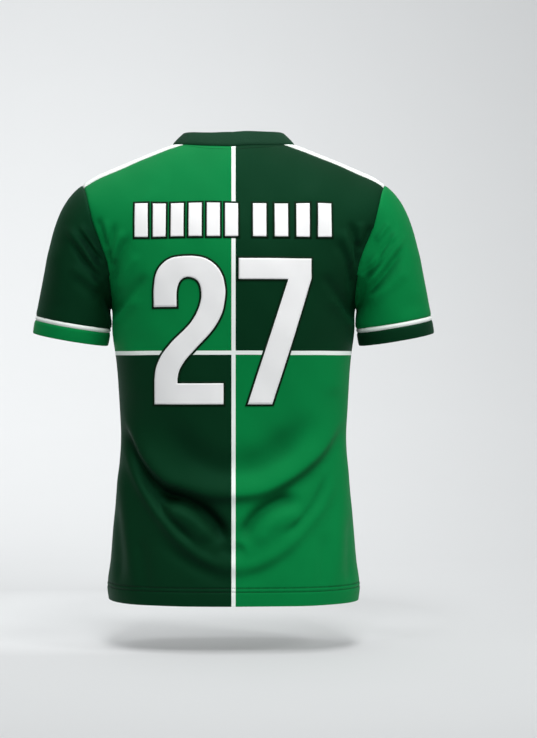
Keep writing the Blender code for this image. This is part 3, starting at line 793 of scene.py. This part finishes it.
def cut_pattern():
    """Every piece of cloth, worked out once."""
    if PATTERN:
        return PATTERN
    back, front = panel(-1), panel(1)
    band = shoulder_band(back, front)
    rings, angle = sleeve_rings(armhole_loop(back, front, band))
    top = CUFF_HEIGHT + TAPE_HEIGHT
    tape, cuff = (
        np.array([cuff_ring(angle, level) for level in np.linspace(*levels)])
        for levels in ((top, CUFF_HEIGHT, ROWS_TAPE + 1), (CUFF_HEIGHT, 0, ROWS_CUFF + 1)))
    PATTERN["back"] = Cloth(back, seams="lrt", turned="b")
    PATTERN["front"] = Cloth(front[:, ::-1], seams="lrt", turned="b")
    parts = {
        # grid, whether it goes all round, sewn edges, turned edge
        "shoulder_band": (band, False, "blrt", ""),
        "sleeve": (rings[:, ::-1], True, "bt", ""),
        "cuff_tape": (tape[:, ::-1], True, "bt", ""),
        "cuff": (cuff[:, ::-1], True, "b", "t"),
    }
    for name, (grid, *cut) in parts.items():
        PATTERN[f"{name}_right"] = Cloth(grid, *cut)
        PATTERN[f"{name}_left"] = Cloth(grid[:, ::-1] * (-1, 1, 1), *cut)
    rings = collar_rings(neck_loop(back, front, band))
    PATTERN["collar"] = Cloth(rings, ring=True, seams="b", turned="t")
    blend_seam_normals(PATTERN.values())
    for name, piece in PATTERN.items():
        piece.shape(relief(name, piece))
    return PATTERN


def relief(name, piece):
    """What sewing does to a piece: the hem's fold and stitched grooves, and the rib's swell."""
    x, z = piece.grid[..., 0], piece.grid[..., 2]
    if name in ("back", "front"):
        up = piece.from_edge("b")
        lift = HEM_SWELL * smooth((HEM_TURN - up) / HEM_STEP)
        depth, breadth = HEM_GROOVE
        for line in HEM_LINES:
            lift = lift - depth * np.exp(-((up - line) / breadth) ** 2)
        height, reach = HEM_PUCKER
        gathers = height * np.sin(x * 620) * np.sin(x * 173 + 1)
        return lift + gathers * np.exp(-((up - np.mean(HEM_LINES)) / reach) ** 2)
    if name.startswith("sleeve"):
        inner = smooth((0.215 - np.abs(x)) / 0.020)
        return UNDERARM_SWELL * inner * np.exp(-((z + 0.258) / 0.026) ** 2)
    swell, roundness = SWELLS[name.rpartition("_")[0] or name]
    return swell * np.sin(math.pi * np.clip(piece.up / piece.up[-1], 0.0, 0.9999)) ** roundness


# ---- meshes

def turned_edge(outside, inside, beyond):
    """Rows round a free edge, from the outside row to the inside row."""
    half = (outside - inside) / 2
    beyond = beyond * np.linalg.norm(half, axis=1)[:, None]
    turns = math.pi * np.arange(1, EDGE_STEPS) / EDGE_STEPS
    return [inside + half + half * math.cos(turn) + beyond * math.sin(turn) for turn in turns]


def shell_mesh(name, piece, wall):
    """A closed thin shell: the outside, its turned edges and the inside, with its maps."""
    outside = piece.outside
    inside = outside - piece.normals * wall
    rows, cols = outside.shape[:2]
    profile, source = list(outside), list(range(rows))
    if "t" in piece.turned:
        profile += turned_edge(outside[-1], inside[-1], unit(outside[-1] - outside[-2]))
    source += [rows - 1] * (len(profile) - rows) + list(range(rows))[::-1]
    profile += list(inside[::-1])
    if "b" in piece.turned:
        profile += turned_edge(inside[0], outside[0], unit(outside[0] - outside[1]))
    source = np.array(source + [0] * (len(profile) - len(source)))
    loops = len(profile)
    k = np.arange(loops)[:, None]
    c = np.arange(cols if piece.ring else cols - 1)[None]
    after_k = (k + 1) % loops
    cells = [(k, c), (k, c + 1), (after_k, c + 1), (after_k, c)]
    quads = np.stack([a * cols + b % cols for a, b in cells], axis=-1)
    faces = quads.reshape(-1, 4).tolist()
    closed = [(0, 0), (0, int(piece.ring)), (0, 0)]
    knit = np.zeros((rows, cols + piece.ring, 2))
    knit[..., 0] = piece.along - (0 if piece.ring else piece.along[:, -1:] / 2)
    knit[..., 1] = np.pad(piece.up, closed[:2], mode="wrap")
    maps = {"knit": knit, "print": np.pad(piece.grid[..., (0, 2)], closed, mode="wrap")}
    ends = [] if piece.ring else end_caps(loops, cols, rows)
    corners = [i for face in ends for i in face]
    mesh = bpy.data.meshes.new(name)
    mesh.from_pydata(np.concatenate(profile).tolist(), [], faces + ends)
    for label, values in maps.items():
        picked = np.stack([values[source[a], b] for a, b in cells], axis=2).reshape(-1, 2)
        at_ends = [values[source[i // cols], i % cols] for i in corners]
        picked = np.concatenate((picked, np.array(at_ends).reshape(-1, 2)))
        layer = mesh.uv_layers.new(name=label)
        layer.data.foreach_set("uv", picked.astype(np.float32).ravel())
    # Painted shade for the creases, kept on the mesh for its materials to darken the colour by.
    hollow = mesh.attributes.new("hollow", "FLOAT", "POINT")
    hollow.data.foreach_set("value", piece.hollow[source].astype(np.float32).ravel())
    return mesh


def end_caps(loops, cols, rows):
    """Faces that close the left and right ends of a shell whose profile goes once round."""
    turned = loops - 2 * rows            # rows round the turned bottom edge
    behind = [loops - 1 - turned - row for row in range(rows)]
    strips = [(row, row + 1, behind[row + 1], behind[row]) for row in range(rows - 1)]
    if turned:
        strips.append((0, *range(behind[0], loops)))
    faces = []
    for column, order in ((0, 1), (cols - 1, -1)):
        faces += [[row * cols + column for row in strip][::order] for strip in strips]
    return faces


def add_object(name, mesh, material, nodes=()):
    """Link a finished mesh, let it ride on the body and take over its nodes' places."""
    mesh.validate()
    mesh.materials.append(material)
    piece = bpy.data.objects.new(name, mesh)
    bpy.context.scene.collection.objects.link(piece)
    bpy.ops.object.select_all(action="DESELECT")
    piece.select_set(True)
    bpy.context.view_layer.objects.active = piece
    bpy.ops.object.shade_smooth()
    piece.select_set(False)
    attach(piece, BODY)
    if nodes:
        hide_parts(*nodes)
    return piece


def add_cloth(name, material, slot, held="stretched", wall=None, trims=()):
    """Make one piece of cloth in place of its solid, and state its cut unless it is a trim."""
    piece = cut_pattern()[name]
    mesh = shell_mesh(f"{name}_cloth", piece, wall or sizes().cloth)
    made = add_object(f"{name}_cloth", mesh, material, (name,))
    if held is None:
        return made
    return made


# ---- materials

class Nodes:
    """Short calls for building a material's node tree."""

    def __init__(self, name, roughness, sheen, specular, tint=(1, 1, 1)):
        self.material = bpy.data.materials.new(name)
        self.material.use_nodes = True
        self.tree = self.material.node_tree
        self.shader = self.tree.nodes["Principled BSDF"]
        self.put(self.shader, {
            "Roughness": roughness, "Sheen Weight": sheen, "Sheen Roughness": 0.45,
            "Sheen Tint": tint, "Specular IOR Level": specular, "Specular Tint": tint})

    def put(self, node, inputs):
        """Give inputs a number, a colour or another node's output."""
        for key, value in inputs.items():
            socket = node.inputs[key]
            if isinstance(value, bpy.types.NodeSocket):
                self.tree.links.new(value, socket)
            elif isinstance(value, (int, float)):
                socket.default_value = value
            else:
                socket.default_value = (*tuple(value)[:3], 1)[:len(socket.default_value)]

    def add(self, kind, inputs=(), **settings):
        """Add a node of this kind and give its outputs."""
        node = self.tree.nodes.new(kind)
        for key, value in settings.items():
            setattr(node, key, value)
        self.put(node, dict(inputs))
        return node.outputs

    def math(self, operation, *values):
        return self.add("ShaderNodeMath", enumerate(values), operation=operation)[0]

    def mix(self, factor, a, b):
        return self.add("ShaderNodeMix", {0: factor, 6: a, 7: b}, data_type="RGBA")[2]

    def scaled(self, colour, factor):
        return self.add(
            "ShaderNodeVectorMath", {0: colour, "Scale": factor}, operation="SCALE")[0]

    def map(self, label):
        return self.add("ShaderNodeUVMap", uv_map=label)[0]

    def split(self, vector):
        return self.add("ShaderNodeSeparateXYZ", {0: vector})

    def noise(self, vector, scale, detail=2.0, roughness=0.5):
        return self.add("ShaderNodeTexNoise", {
            "Vector": vector, "Scale": scale, "Detail": detail, "Roughness": roughness})["Fac"]

    def mottle(self, amount, *noise):
        """A factor that swings by this amount about 1."""
        return self.line(self.noise(*noise), amount, 1 - amount / 2)

    def line(self, value, slope, base):
        return self.math("ADD", self.math("MULTIPLY", value, slope), base)

    def bump(self, height, distance, strength, under=None):
        inputs = {"Strength": strength, "Distance": distance, "Height": height}
        return self.add("ShaderNodeBump", inputs | ({"Normal": under} if under else {}))[0]

    def surface(self, colour, normal):
        """Give the shader its colour and its bump."""
        self.put(self.shader, {"Base Color": colour, "Normal": normal})
        return self.material


def knit_bump(n, wale=0.00125, course=0.0010, depth=0.00012):
    """Columns of tiny V stitches, on the cloth's own map, over a faint unevenness."""
    u, v, _ = n.split(n.map("knit"))
    column = n.math("MULTIPLY", u, 2 * math.pi / wale)
    slant = n.math("ABSOLUTE", n.math("SINE", n.math("MULTIPLY", column, 0.5)))
    row = n.math("ADD", n.math("MULTIPLY", v, 2 * math.pi / course), n.math("MULTIPLY", slant, 2))
    stitch = n.math("MULTIPLY", n.math("SINE", row), 0.35)
    rib = n.math("MULTIPLY", n.math("COSINE", column), 0.5)
    under = n.bump(n.noise(n.map("knit"), 55.0, 3.0, 0.55), 0.0006, 0.35)
    return n.bump(n.math("ADD", rib, stitch), depth, 0.55, under)


def dyed(n, colour):
    """A colour with the slight mottling of dyed knit."""
    patch = n.mottle(0.10, n.map("knit"), 18.0, 3.0, 0.6)
    fine = n.mottle(0.10, n.map("knit"), 900.0, 1.0, 0.5)
    return n.scaled(colour, n.math("MULTIPLY", patch, fine))


def sunk(n, colour):
    """A green that is deeper in the creases, where the knit closes up."""
    hollow = n.add("ShaderNodeAttribute", attribute_name="hollow")["Fac"]
    return n.mix(hollow, colour, (0.0, 0.0, 0.0))


def printed_quarters(n):
    """Four quarters in two greens, with the white cross stripes, on the print map."""
    c = colours()
    half = sizes().stripe / 2
    x, z, _ = n.split(n.map("print"))
    left = n.math("LESS_THAN", x, 0.0)
    low = n.math("LESS_THAN", z, STRIPE_HEIGHT)
    dark = n.math("ABSOLUTE", n.math("SUBTRACT", left, low))      # left and high, or right and low
    # Painted shade in the creases darkens the greens; the white stripes are left without it.
    greens = sunk(n, n.mix(dark, c.dark, c.light))
    upright = n.math("LESS_THAN", n.math("ABSOLUTE", x), half)
    level = n.math("ABSOLUTE", n.math("SUBTRACT", z, STRIPE_HEIGHT))
    cross = n.math("MAXIMUM", upright, n.math("LESS_THAN", level, half))
    return n.mix(cross, greens, c.white)


KNIT_TINT = (0.12, 1.0, 0.50)      # of the green knit's sheen and gloss


def quartered_knit():
    n = Nodes("quartered_knit", roughness=0.62, sheen=0.03, tint=KNIT_TINT, specular=0.18)
    return n.surface(dyed(n, printed_quarters(n)), knit_bump(n))


def plain_knit(name, colour, tint=KNIT_TINT, specular=0.18):
    n = Nodes(name, roughness=0.62, sheen=0.03, tint=tint, specular=specular)
    # Painted shade in the creases darkens the knit's colour.
    return n.surface(dyed(n, sunk(n, colour)), knit_bump(n))


def rib_knit(name, colour):
    """Rib: upright columns, a little deeper than the plain knit's."""
    n = Nodes(name, roughness=0.66, sheen=0.05, tint=(0.4, 1.0, 0.65), specular=0.3)
    wave = n.math("COSINE", n.math("MULTIPLY", n.split(n.map("knit"))[0], 2 * math.pi / 0.0026))
    under = n.bump(n.noise(n.map("knit"), 60.0), 0.0006, 0.3)
    # Painted shade and highlight: the colour is darker in the grooves between the columns and
    # lighter on their tops.
    return n.surface(
        n.scaled(dyed(n, colour), n.line(wave, 0.08, 0.94)), n.bump(wave, 0.00035, 0.6, under))


def film(name, colour, roughness=0.48, specular=0.40):
    """Pressed transfer film: smooth, with the knit faintly showing through."""
    n = Nodes(name, roughness, sheen=0.05 * specular, specular=specular)
    grain = n.noise(n.map("print"), 1100.0, 1.0)
    return n.surface(
        n.scaled(colour, n.mottle(0.05, n.map("print"), 30.0, 3.0, 0.6)),
        n.bump(grain, 0.00006, 0.4))


def thread_material(name, colour=None):
    """Sewing thread in the given colour, or in that of the print it is on."""
    n = Nodes(name, roughness=0.6, sheen=0.03, tint=(0.9, 1.0, 0.95), specular=0.15)
    ply = n.noise(n.map("print"), 2500.0, 1.0)
    return n.surface(
        colour or n.mix(0.45, printed_quarters(n), (0, 0, 0)), n.bump(ply, 0.00005, 0.5))


# ---- transfers on the back

def stroke_rails(pairs, bent=0):
    """The two edges of a stroke through the given pairs; its first bent spans are smooth curves."""
    pairs = np.array(pairs)
    knots, steps = pairs[:, :4], pairs[:-1, 4:]
    slope = np.diff(knots, axis=0) / steps
    pull = slope.copy()
    weight = steps[1:] / (steps[1:] + steps[:-1])
    pull[1:] = slope[:-1] * weight + slope[1:] * (1 - weight)
    rows = []
    for i, (count,) in enumerate(steps):
        t = (np.arange(count) / count)[:, None]
        if i < bent:
            leave = pull[i] * count
            arrive = (pull[i + 1] if i + 1 < bent else slope[i]) * count
            rows.append(bent_span(t, knots[i], knots[i + 1], leave, arrive))
        else:
            rows.append(knots[i] * (1 - t) + knots[i + 1] * t)
    rows = np.concatenate((*rows, knots[-1:]))
    return rows[:, :2], rows[:, 2:]


def grow_rails(outer, inner, by):
    """The same stroke with a margin all round it."""
    loop = np.concatenate((outer, inner[::-1]))
    before = unit(loop - np.roll(loop, 1, axis=0))
    after = np.roll(before, -1, axis=0)
    ahead = np.roll(loop, -1, axis=0)
    area = (loop[:, 0] * ahead[:, 1] - ahead[:, 0] * loop[:, 1]).sum()
    sign = (1, -1) if area > 0 else (-1, 1)
    a, b = before[:, ::-1] * sign, after[:, ::-1] * sign
    grown = loop + (a + b) * by / np.maximum(MITRE, 1 + (a * b).sum(axis=1))[:, None]
    count = len(outer)
    return grown[:count], grown[count:][::-1]


def on_back(flat):
    """Points and normals of the creased back panel at flat places."""
    x, z = flat[..., 0].ravel(), flat[..., 1].ravel()
    reach = 0.0005
    base = on_trunk(x, z, -1)
    right = on_trunk(x + reach, z, -1) - on_trunk(x - reach, z, -1)
    high = on_trunk(x, z + reach, -1) - on_trunk(x, z - reach, -1)
    normal = unit(np.cross(right, high))
    lift = crease_lift(base) + slack_lift(base)
    shape = flat.shape[:-1]
    points = (base + normal * lift[:, None]).reshape(*shape, 3)
    return points, normal.reshape(*shape, 3)


def transfer_piece(name, rails, lift, material, nodes, steps=14):
    """A thin film on the back panel between two rails, its underside lifted off the cloth."""
    outer, inner = rails
    flat = np.array([outer * (1 - t) + inner * t for t in np.linspace(0, 1, steps + 1)])
    points, normals = on_back(flat)
    if point_normals(points, False)[..., 1].mean() > 0:
        flat, points, normals = flat[::-1], points[::-1], normals[::-1]
    wall = sizes().transfer
    piece = Cloth(np.insert(flat, 1, 0.0, axis=2), seams="")
    piece.normals = normals
    piece.outside = points + normals * (lift + wall)
    add_object(name, shell_mesh(name, piece, wall), material, nodes)


def outlined(name, pairs, nodes, bent=0):
    """A white film on a slightly larger dark one."""
    white = bpy.data.materials.get("number_film") or film("number_film", colours().film)
    dark = bpy.data.materials.get("number_edge") or film("number_edge", colours().edge, 0.7, 0.05)
    rails = stroke_rails(pairs, bent)
    transfer_piece(f"{name}_edge", grow_rails(*rails, sizes().outline), FILM_GAP, dark, ())
    lift = FILM_GAP + sizes().transfer + EDGE_GAP
    transfer_piece(f"{name}_film", rails, lift, white, nodes)


# ---- stitching

def line_along(piece, distance):
    """Points, normals and flat places of a line at these distances up a piece from its bottom."""
    rows, cols = piece.grid.shape[:2]
    distance = np.broadcast_to(distance, cols)
    row = np.array([np.interp(distance[c], piece.up[:, c], np.arange(rows)) for c in range(cols)])
    r = np.minimum(row.astype(int), rows - 2)
    t = (row - r)[:, None]
    c = np.arange(cols)
    points, normals, flats = (
        values[r, c] * (1 - t) + values[r + 1, c] * t
        for values in (piece.outside, point_normals(piece.outside, piece.ring), piece.grid))
    return points, unit(normals), flats


STITCH = np.array([
    # along the stitch, thickness, height over the cloth in half threads
    (0.0, 0.25, -0.9),
    (0.18, 0.85, 0.1),
    (0.5, 1.0, 0.45),
    (0.82, 0.85, 0.1),
    (1.0, 0.25, -0.9),
])


def stitch_row(points, normals, flats):
    """Short rounded stitches one after another along a line: points, faces and flat places."""
    s = sizes()
    half = s.thread / 2
    run = run_along(points)
    count = int(run[-1] / (s.stitch * STITCH_PITCH))
    starts = (np.arange(count) + 0.1) * run[-1] / count

    def at(place, values):
        return np.column_stack([np.interp(place, run, column) for column in values.T])

    sides, near = STITCH_SIDES, 0.0004
    verts, places = [], []
    for k, swollen, rise in STITCH:
        place = starts + k * s.stitch
        out = unit(at(place, normals))
        ahead = at(place + near, points) - at(place - near, points)
        side = unit(np.cross(out, ahead))
        for turn in np.arange(sides) * 2 * math.pi / sides:
            ring = side * math.cos(turn) * STITCH_BREADTH + out * math.sin(turn)
            verts.append(at(place, points) + ring * half * swollen + out * half * rise)
            places.append(at(place, flats))
    last = (len(STITCH) - 1) * sides
    faces = [(k + i, k + (i + 1) % sides, k + sides + (i + 1) % sides, k + sides + i)
             for k in range(0, last, sides) for i in range(sides)]
    faces += [tuple(range(sides))[::-1], tuple(range(last, last + sides))]
    return np.array(verts).transpose(1, 0, 2), faces, np.array(places).transpose(1, 0, 2)


def thread_piece(name, rows, material):
    """Join rows of stitches into one piece."""
    points, faces, places = [], [], []
    for verts, pattern, flat in rows:
        for stitch, where in zip(verts, flat):
            shift = len(stitch) * len(points)
            points.append(stitch)
            places.append(where)
            faces += [[i + shift for i in face] for face in pattern]
    mesh = bpy.data.meshes.new(name)
    mesh.from_pydata(np.concatenate(points).tolist(), [], faces)
    corner = np.empty(len(mesh.loops), dtype=np.int32)
    mesh.loops.foreach_get("vertex_index", corner)
    layer = mesh.uv_layers.new(name="print")
    flat = np.concatenate(places)[corner][:, (0, 2)]
    layer.data.foreach_set("uv", flat.astype(np.float32).ravel())
    face_outwards(mesh)
    add_object(name, mesh, material)


def face_outwards(mesh):
    """Turn the faces of closed stitches outwards."""
    work = bmesh.new()
    work.from_mesh(mesh)
    bmesh.ops.recalc_face_normals(work, faces=work.faces)
    work.to_mesh(mesh)
    work.free()


# ---- operators

OPERATORS = []


def operator_named(label):
    """Make a function into an operator of the same name, with this label."""
    def wrap(make):
        def execute(self, context):
            make()
            return {"FINISHED"}

        OPERATORS.append(type(f"JERSEY_OT_{make.__name__}", (bpy.types.Operator,), {
            "__doc__": make.__doc__, "bl_idname": f"jersey.{make.__name__}", "bl_label": label,
            "execute": execute}))
        return make
    return wrap


@operator_named("Back and Front Panels")
def panels():
    """Make the back and front panels with their printed quarters and cross stripes"""
    material = quartered_knit()
    for name in ("back", "front"):
        add_cloth(name, material, f"knit_{name}", "draped")


@operator_named("Shoulder Bands")
def shoulder_bands():
    """Make the white band over each shoulder"""
    white = plain_knit("white_knit", colours().white, (1, 1, 1), 0.3)
    for hand in ("left", "right"):
        add_cloth(f"shoulder_band_{hand}", white, "knit_white")


@operator_named("Sleeves, Tapes and Cuffs")
def sleeves():
    """Make the set-in sleeves, their white tapes and their turned cuffs"""
    light = plain_knit("light_knit", colours().light), "knit_light_green"
    dark = plain_knit("dark_knit", colours().dark), "knit_dark_green"
    white = bpy.data.materials["white_knit"]
    for hand, sleeve, cuff in (("left", dark, light), ("right", light, dark)):
        add_cloth(f"sleeve_{hand}", *sleeve, "draped")
        tape = add_cloth(f"cuff_tape_{hand}", white, "knit_white", None)
        add_cloth(f"cuff_{hand}", *cuff, wall=sizes().cloth * 1.6, trims=[tape])


@operator_named("Collar")
def collar():
    """Make the standing rib collar"""
    rib = rib_knit("collar_rib", colours().collar)
    add_cloth("collar", rib, "rib_dark_green", wall=sizes().rib)


@operator_named("Number")
def number():
    """Press the two numerals on the back, each on its dark edge"""
    outlined("two", TWO, ("number_2",), bent=17)
    outlined("seven", SEVEN, ("number_7",))


@operator_named("Name Blocks")
def name_blocks():
    """Press ten plain blocks where a name would go"""
    lefts = [(first + pitch * i, width)
             for first, blocks, pitch, width in BLOCK_GROUPS for i in range(blocks)]
    for count, (left, width) in enumerate(lefts, 1):
        foot = (left, BLOCK_FOOT, left + width, BLOCK_FOOT, 24)
        top = (left, BLOCK_TOP, left + width, BLOCK_TOP, 1)
        outlined(f"block_{count:02d}", [foot, top], (f"name_block_{count:02d}",))


@operator_named("Stitching")
def stitching():
    """Sew the twin needle hem, the neck and the shoulder bands with visible thread"""
    pattern = cut_pattern()
    tonal = thread_material("tonal_thread")
    hem = [stitch_row(*line_along(pattern[name], line))
           for name in ("back", "front") for line in HEM_LINES]
    thread_piece("hem_stitches", hem, tonal)
    neck = []
    for name, deepest in NECK_LINES.items():
        piece = pattern[name]
        part = np.abs(piece.grid[-1, :, 0]) / (NECK_HALF * NECK_LINE_REACH)
        below = NECK_LINE_END + (deepest - NECK_LINE_END) * (1 - np.minimum(1, part) ** 2.5)
        line = line_along(piece, piece.up[-1] - below)
        neck.append(stitch_row(*(values[part < 1] for values in line)))
    thread_piece("neck_stitches", neck, tonal)
    white = thread_material("white_thread", colours().white)
    bands = [pattern[f"shoulder_band_{hand}"] for hand in ("left", "right")]
    rows = [stitch_row(*line_along(band, line))
            for band in bands for line in (BAND_LINE, band.up[-1] - BAND_LINE)]
    thread_piece("shoulder_stitches", rows, white)


@operator_named("Stage")
def stage():
    """Set the camera, the soft lights and a pale floor that sweeps up behind"""
    bpy.context.scene.view_settings.view_transform = "Standard"
    add_camera()
    add_floor()
    add_lights()


def add_data_object(name, data):
    """Link a camera, a light or a backdrop, which stay with the stage."""
    made = bpy.data.objects.new(name, data)
    bpy.context.scene.collection.objects.link(made)
    return made


def add_camera():
    data = bpy.data.cameras.new("eye")
    data.sensor_width = SENSOR
    data.lens = SENSOR * EYE_DISTANCE / FRAME_HEIGHT
    data.shift_x = SHIFT
    camera = add_data_object("eye", data)
    camera.location = (0.0, -EYE_DISTANCE, EYE_HEIGHT)
    camera.rotation_euler = (math.pi / 2, 0.0, 0.0)
    bpy.context.scene.camera = camera


def add_floor():
    """A floor that runs back and curves up into a wall."""
    turn = np.linspace(0, math.pi / 2, 33)
    radius, back, near, top, half = 3.4, 1.4, -6.0, 5.0, 9.0
    profile = [(near, FLOOR_Z)]
    profile += [(back + radius * math.sin(a), FLOOR_Z + radius * (1 - math.cos(a))) for a in turn]
    profile.append((back + radius, top))
    verts = [(x, y, z) for x in (-half, half) for y, z in profile]
    count = len(profile)
    faces = [(i, i + count, i + count + 1, i + 1) for i in range(count - 1)]
    mesh = bpy.data.meshes.new("sweep")
    mesh.from_pydata(verts, [], faces)
    mesh.shade_smooth()
    mesh.materials.append(sweep_paper())
    sweep = add_data_object("sweep", mesh)
    sweep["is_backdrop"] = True


def sweep_paper():
    """Pale paper that glows a little, so that what shades it stays light."""
    n = Nodes("sweep_paper", roughness=0.95, sheen=0.0, specular=0.1)
    place = n.add("ShaderNodeTexCoord")["Object"]
    x, y, z = n.split(place)
    # Painted light: the paper is made 5 per cent darker on the floor than from a quarter metre up
    # the sweep.
    rise = n.math("DIVIDE", n.math("SUBTRACT", z, FLOOR_Z), 0.25)
    rise = n.math("MINIMUM", n.math("POWER", n.math("MAXIMUM", rise, 0.0), 0.5), 1.0)
    # Painted light: the paper is made a little lighter where the garment takes its light away.
    away = [n.math("DIVIDE", n.math("SUBTRACT", value, middle), reach)
            for value, middle, reach in ((x, -0.28, 0.66), (y, 0.32, 0.44))]
    gap = n.math("ADD", *(n.math("MULTIPLY", part, part) for part in away))
    painted_shadow_fill = n.math("MAXIMUM", n.math("SUBTRACT", 1.0, gap), 0.0)
    swing = n.math("MULTIPLY", n.mottle(0.012, place, 6.0, 3.0), n.line(rise, 0.05, 0.95))
    swing = n.math("MULTIPLY", swing, n.line(painted_shadow_fill, 0.26, 1.0))
    colour = n.scaled([0.95 * part for part in colours().floor], swing)
    # Painted light: the paper glows, so that the shadows on it stay light.
    n.put(n.shader, {"Base Color": colour, "Emission Color": colour, "Emission Strength": 0.64})
    return n.material


def add_light(name, place, aim, size, power, spread):
    data = bpy.data.lights.new(name, "AREA")
    data.shape = "RECTANGLE"
    data.size, data.size_y = size
    data.energy = power
    data.spread = math.radians(spread)
    light = add_data_object(name, data)
    light.location = place
    light.rotation_euler = (Vector(aim) - Vector(place)).to_track_quat("-Z", "Y").to_euler()


def add_lights():
    world = bpy.data.worlds.new("room")
    bpy.context.scene.world = world
    world.use_nodes = True
    fill = world.node_tree.nodes["Background"]
    fill.inputs["Color"].default_value = (0.92, 0.97, 1.0, 1)
    fill.inputs["Strength"].default_value = 0.15
    for light in LIGHTS:
        add_light(*light)


class JERSEY_PT_maker(bpy.types.Panel):
    """Lists the jersey's pieces in the order they are made"""

    bl_idname = "JERSEY_PT_maker"
    bl_label = "Football Jersey"
    bl_space_type = "VIEW_3D"
    bl_region_type = "UI"
    bl_category = "Jersey"

    def draw(self, context):
        layout = self.layout
        for group in (context.scene.jersey_sizes, context.scene.jersey_colours):
            for key in group.__annotations__:
                layout.prop(group, key)
        for operator in OPERATORS:
            layout.operator(operator.bl_idname)


CLASSES = (JerseySizes, JerseyColours, *OPERATORS, JERSEY_PT_maker)


def register():
    for item in CLASSES:
        bpy.utils.register_class(item)
    bpy.types.Scene.jersey_sizes = bpy.props.PointerProperty(type=JerseySizes)
    bpy.types.Scene.jersey_colours = bpy.props.PointerProperty(type=JerseyColours)


def unregister():
    del bpy.types.Scene.jersey_colours
    del bpy.types.Scene.jersey_sizes
    for item in reversed(CLASSES):
        bpy.utils.unregister_class(item)


def plain(value):
    """Nested sequences as plain lists of numbers."""
    if hasattr(value, "__len__"):
        return [plain(item) for item in value]
    return float(value)


def main():
    register()
    for operator in OPERATORS:
        getattr(bpy.ops.jersey, operator.bl_idname.partition(".")[2])()
    {"cad": plain(CAD_BOX), "made": plain(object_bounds())}


if __name__ == "__main__":
    main()
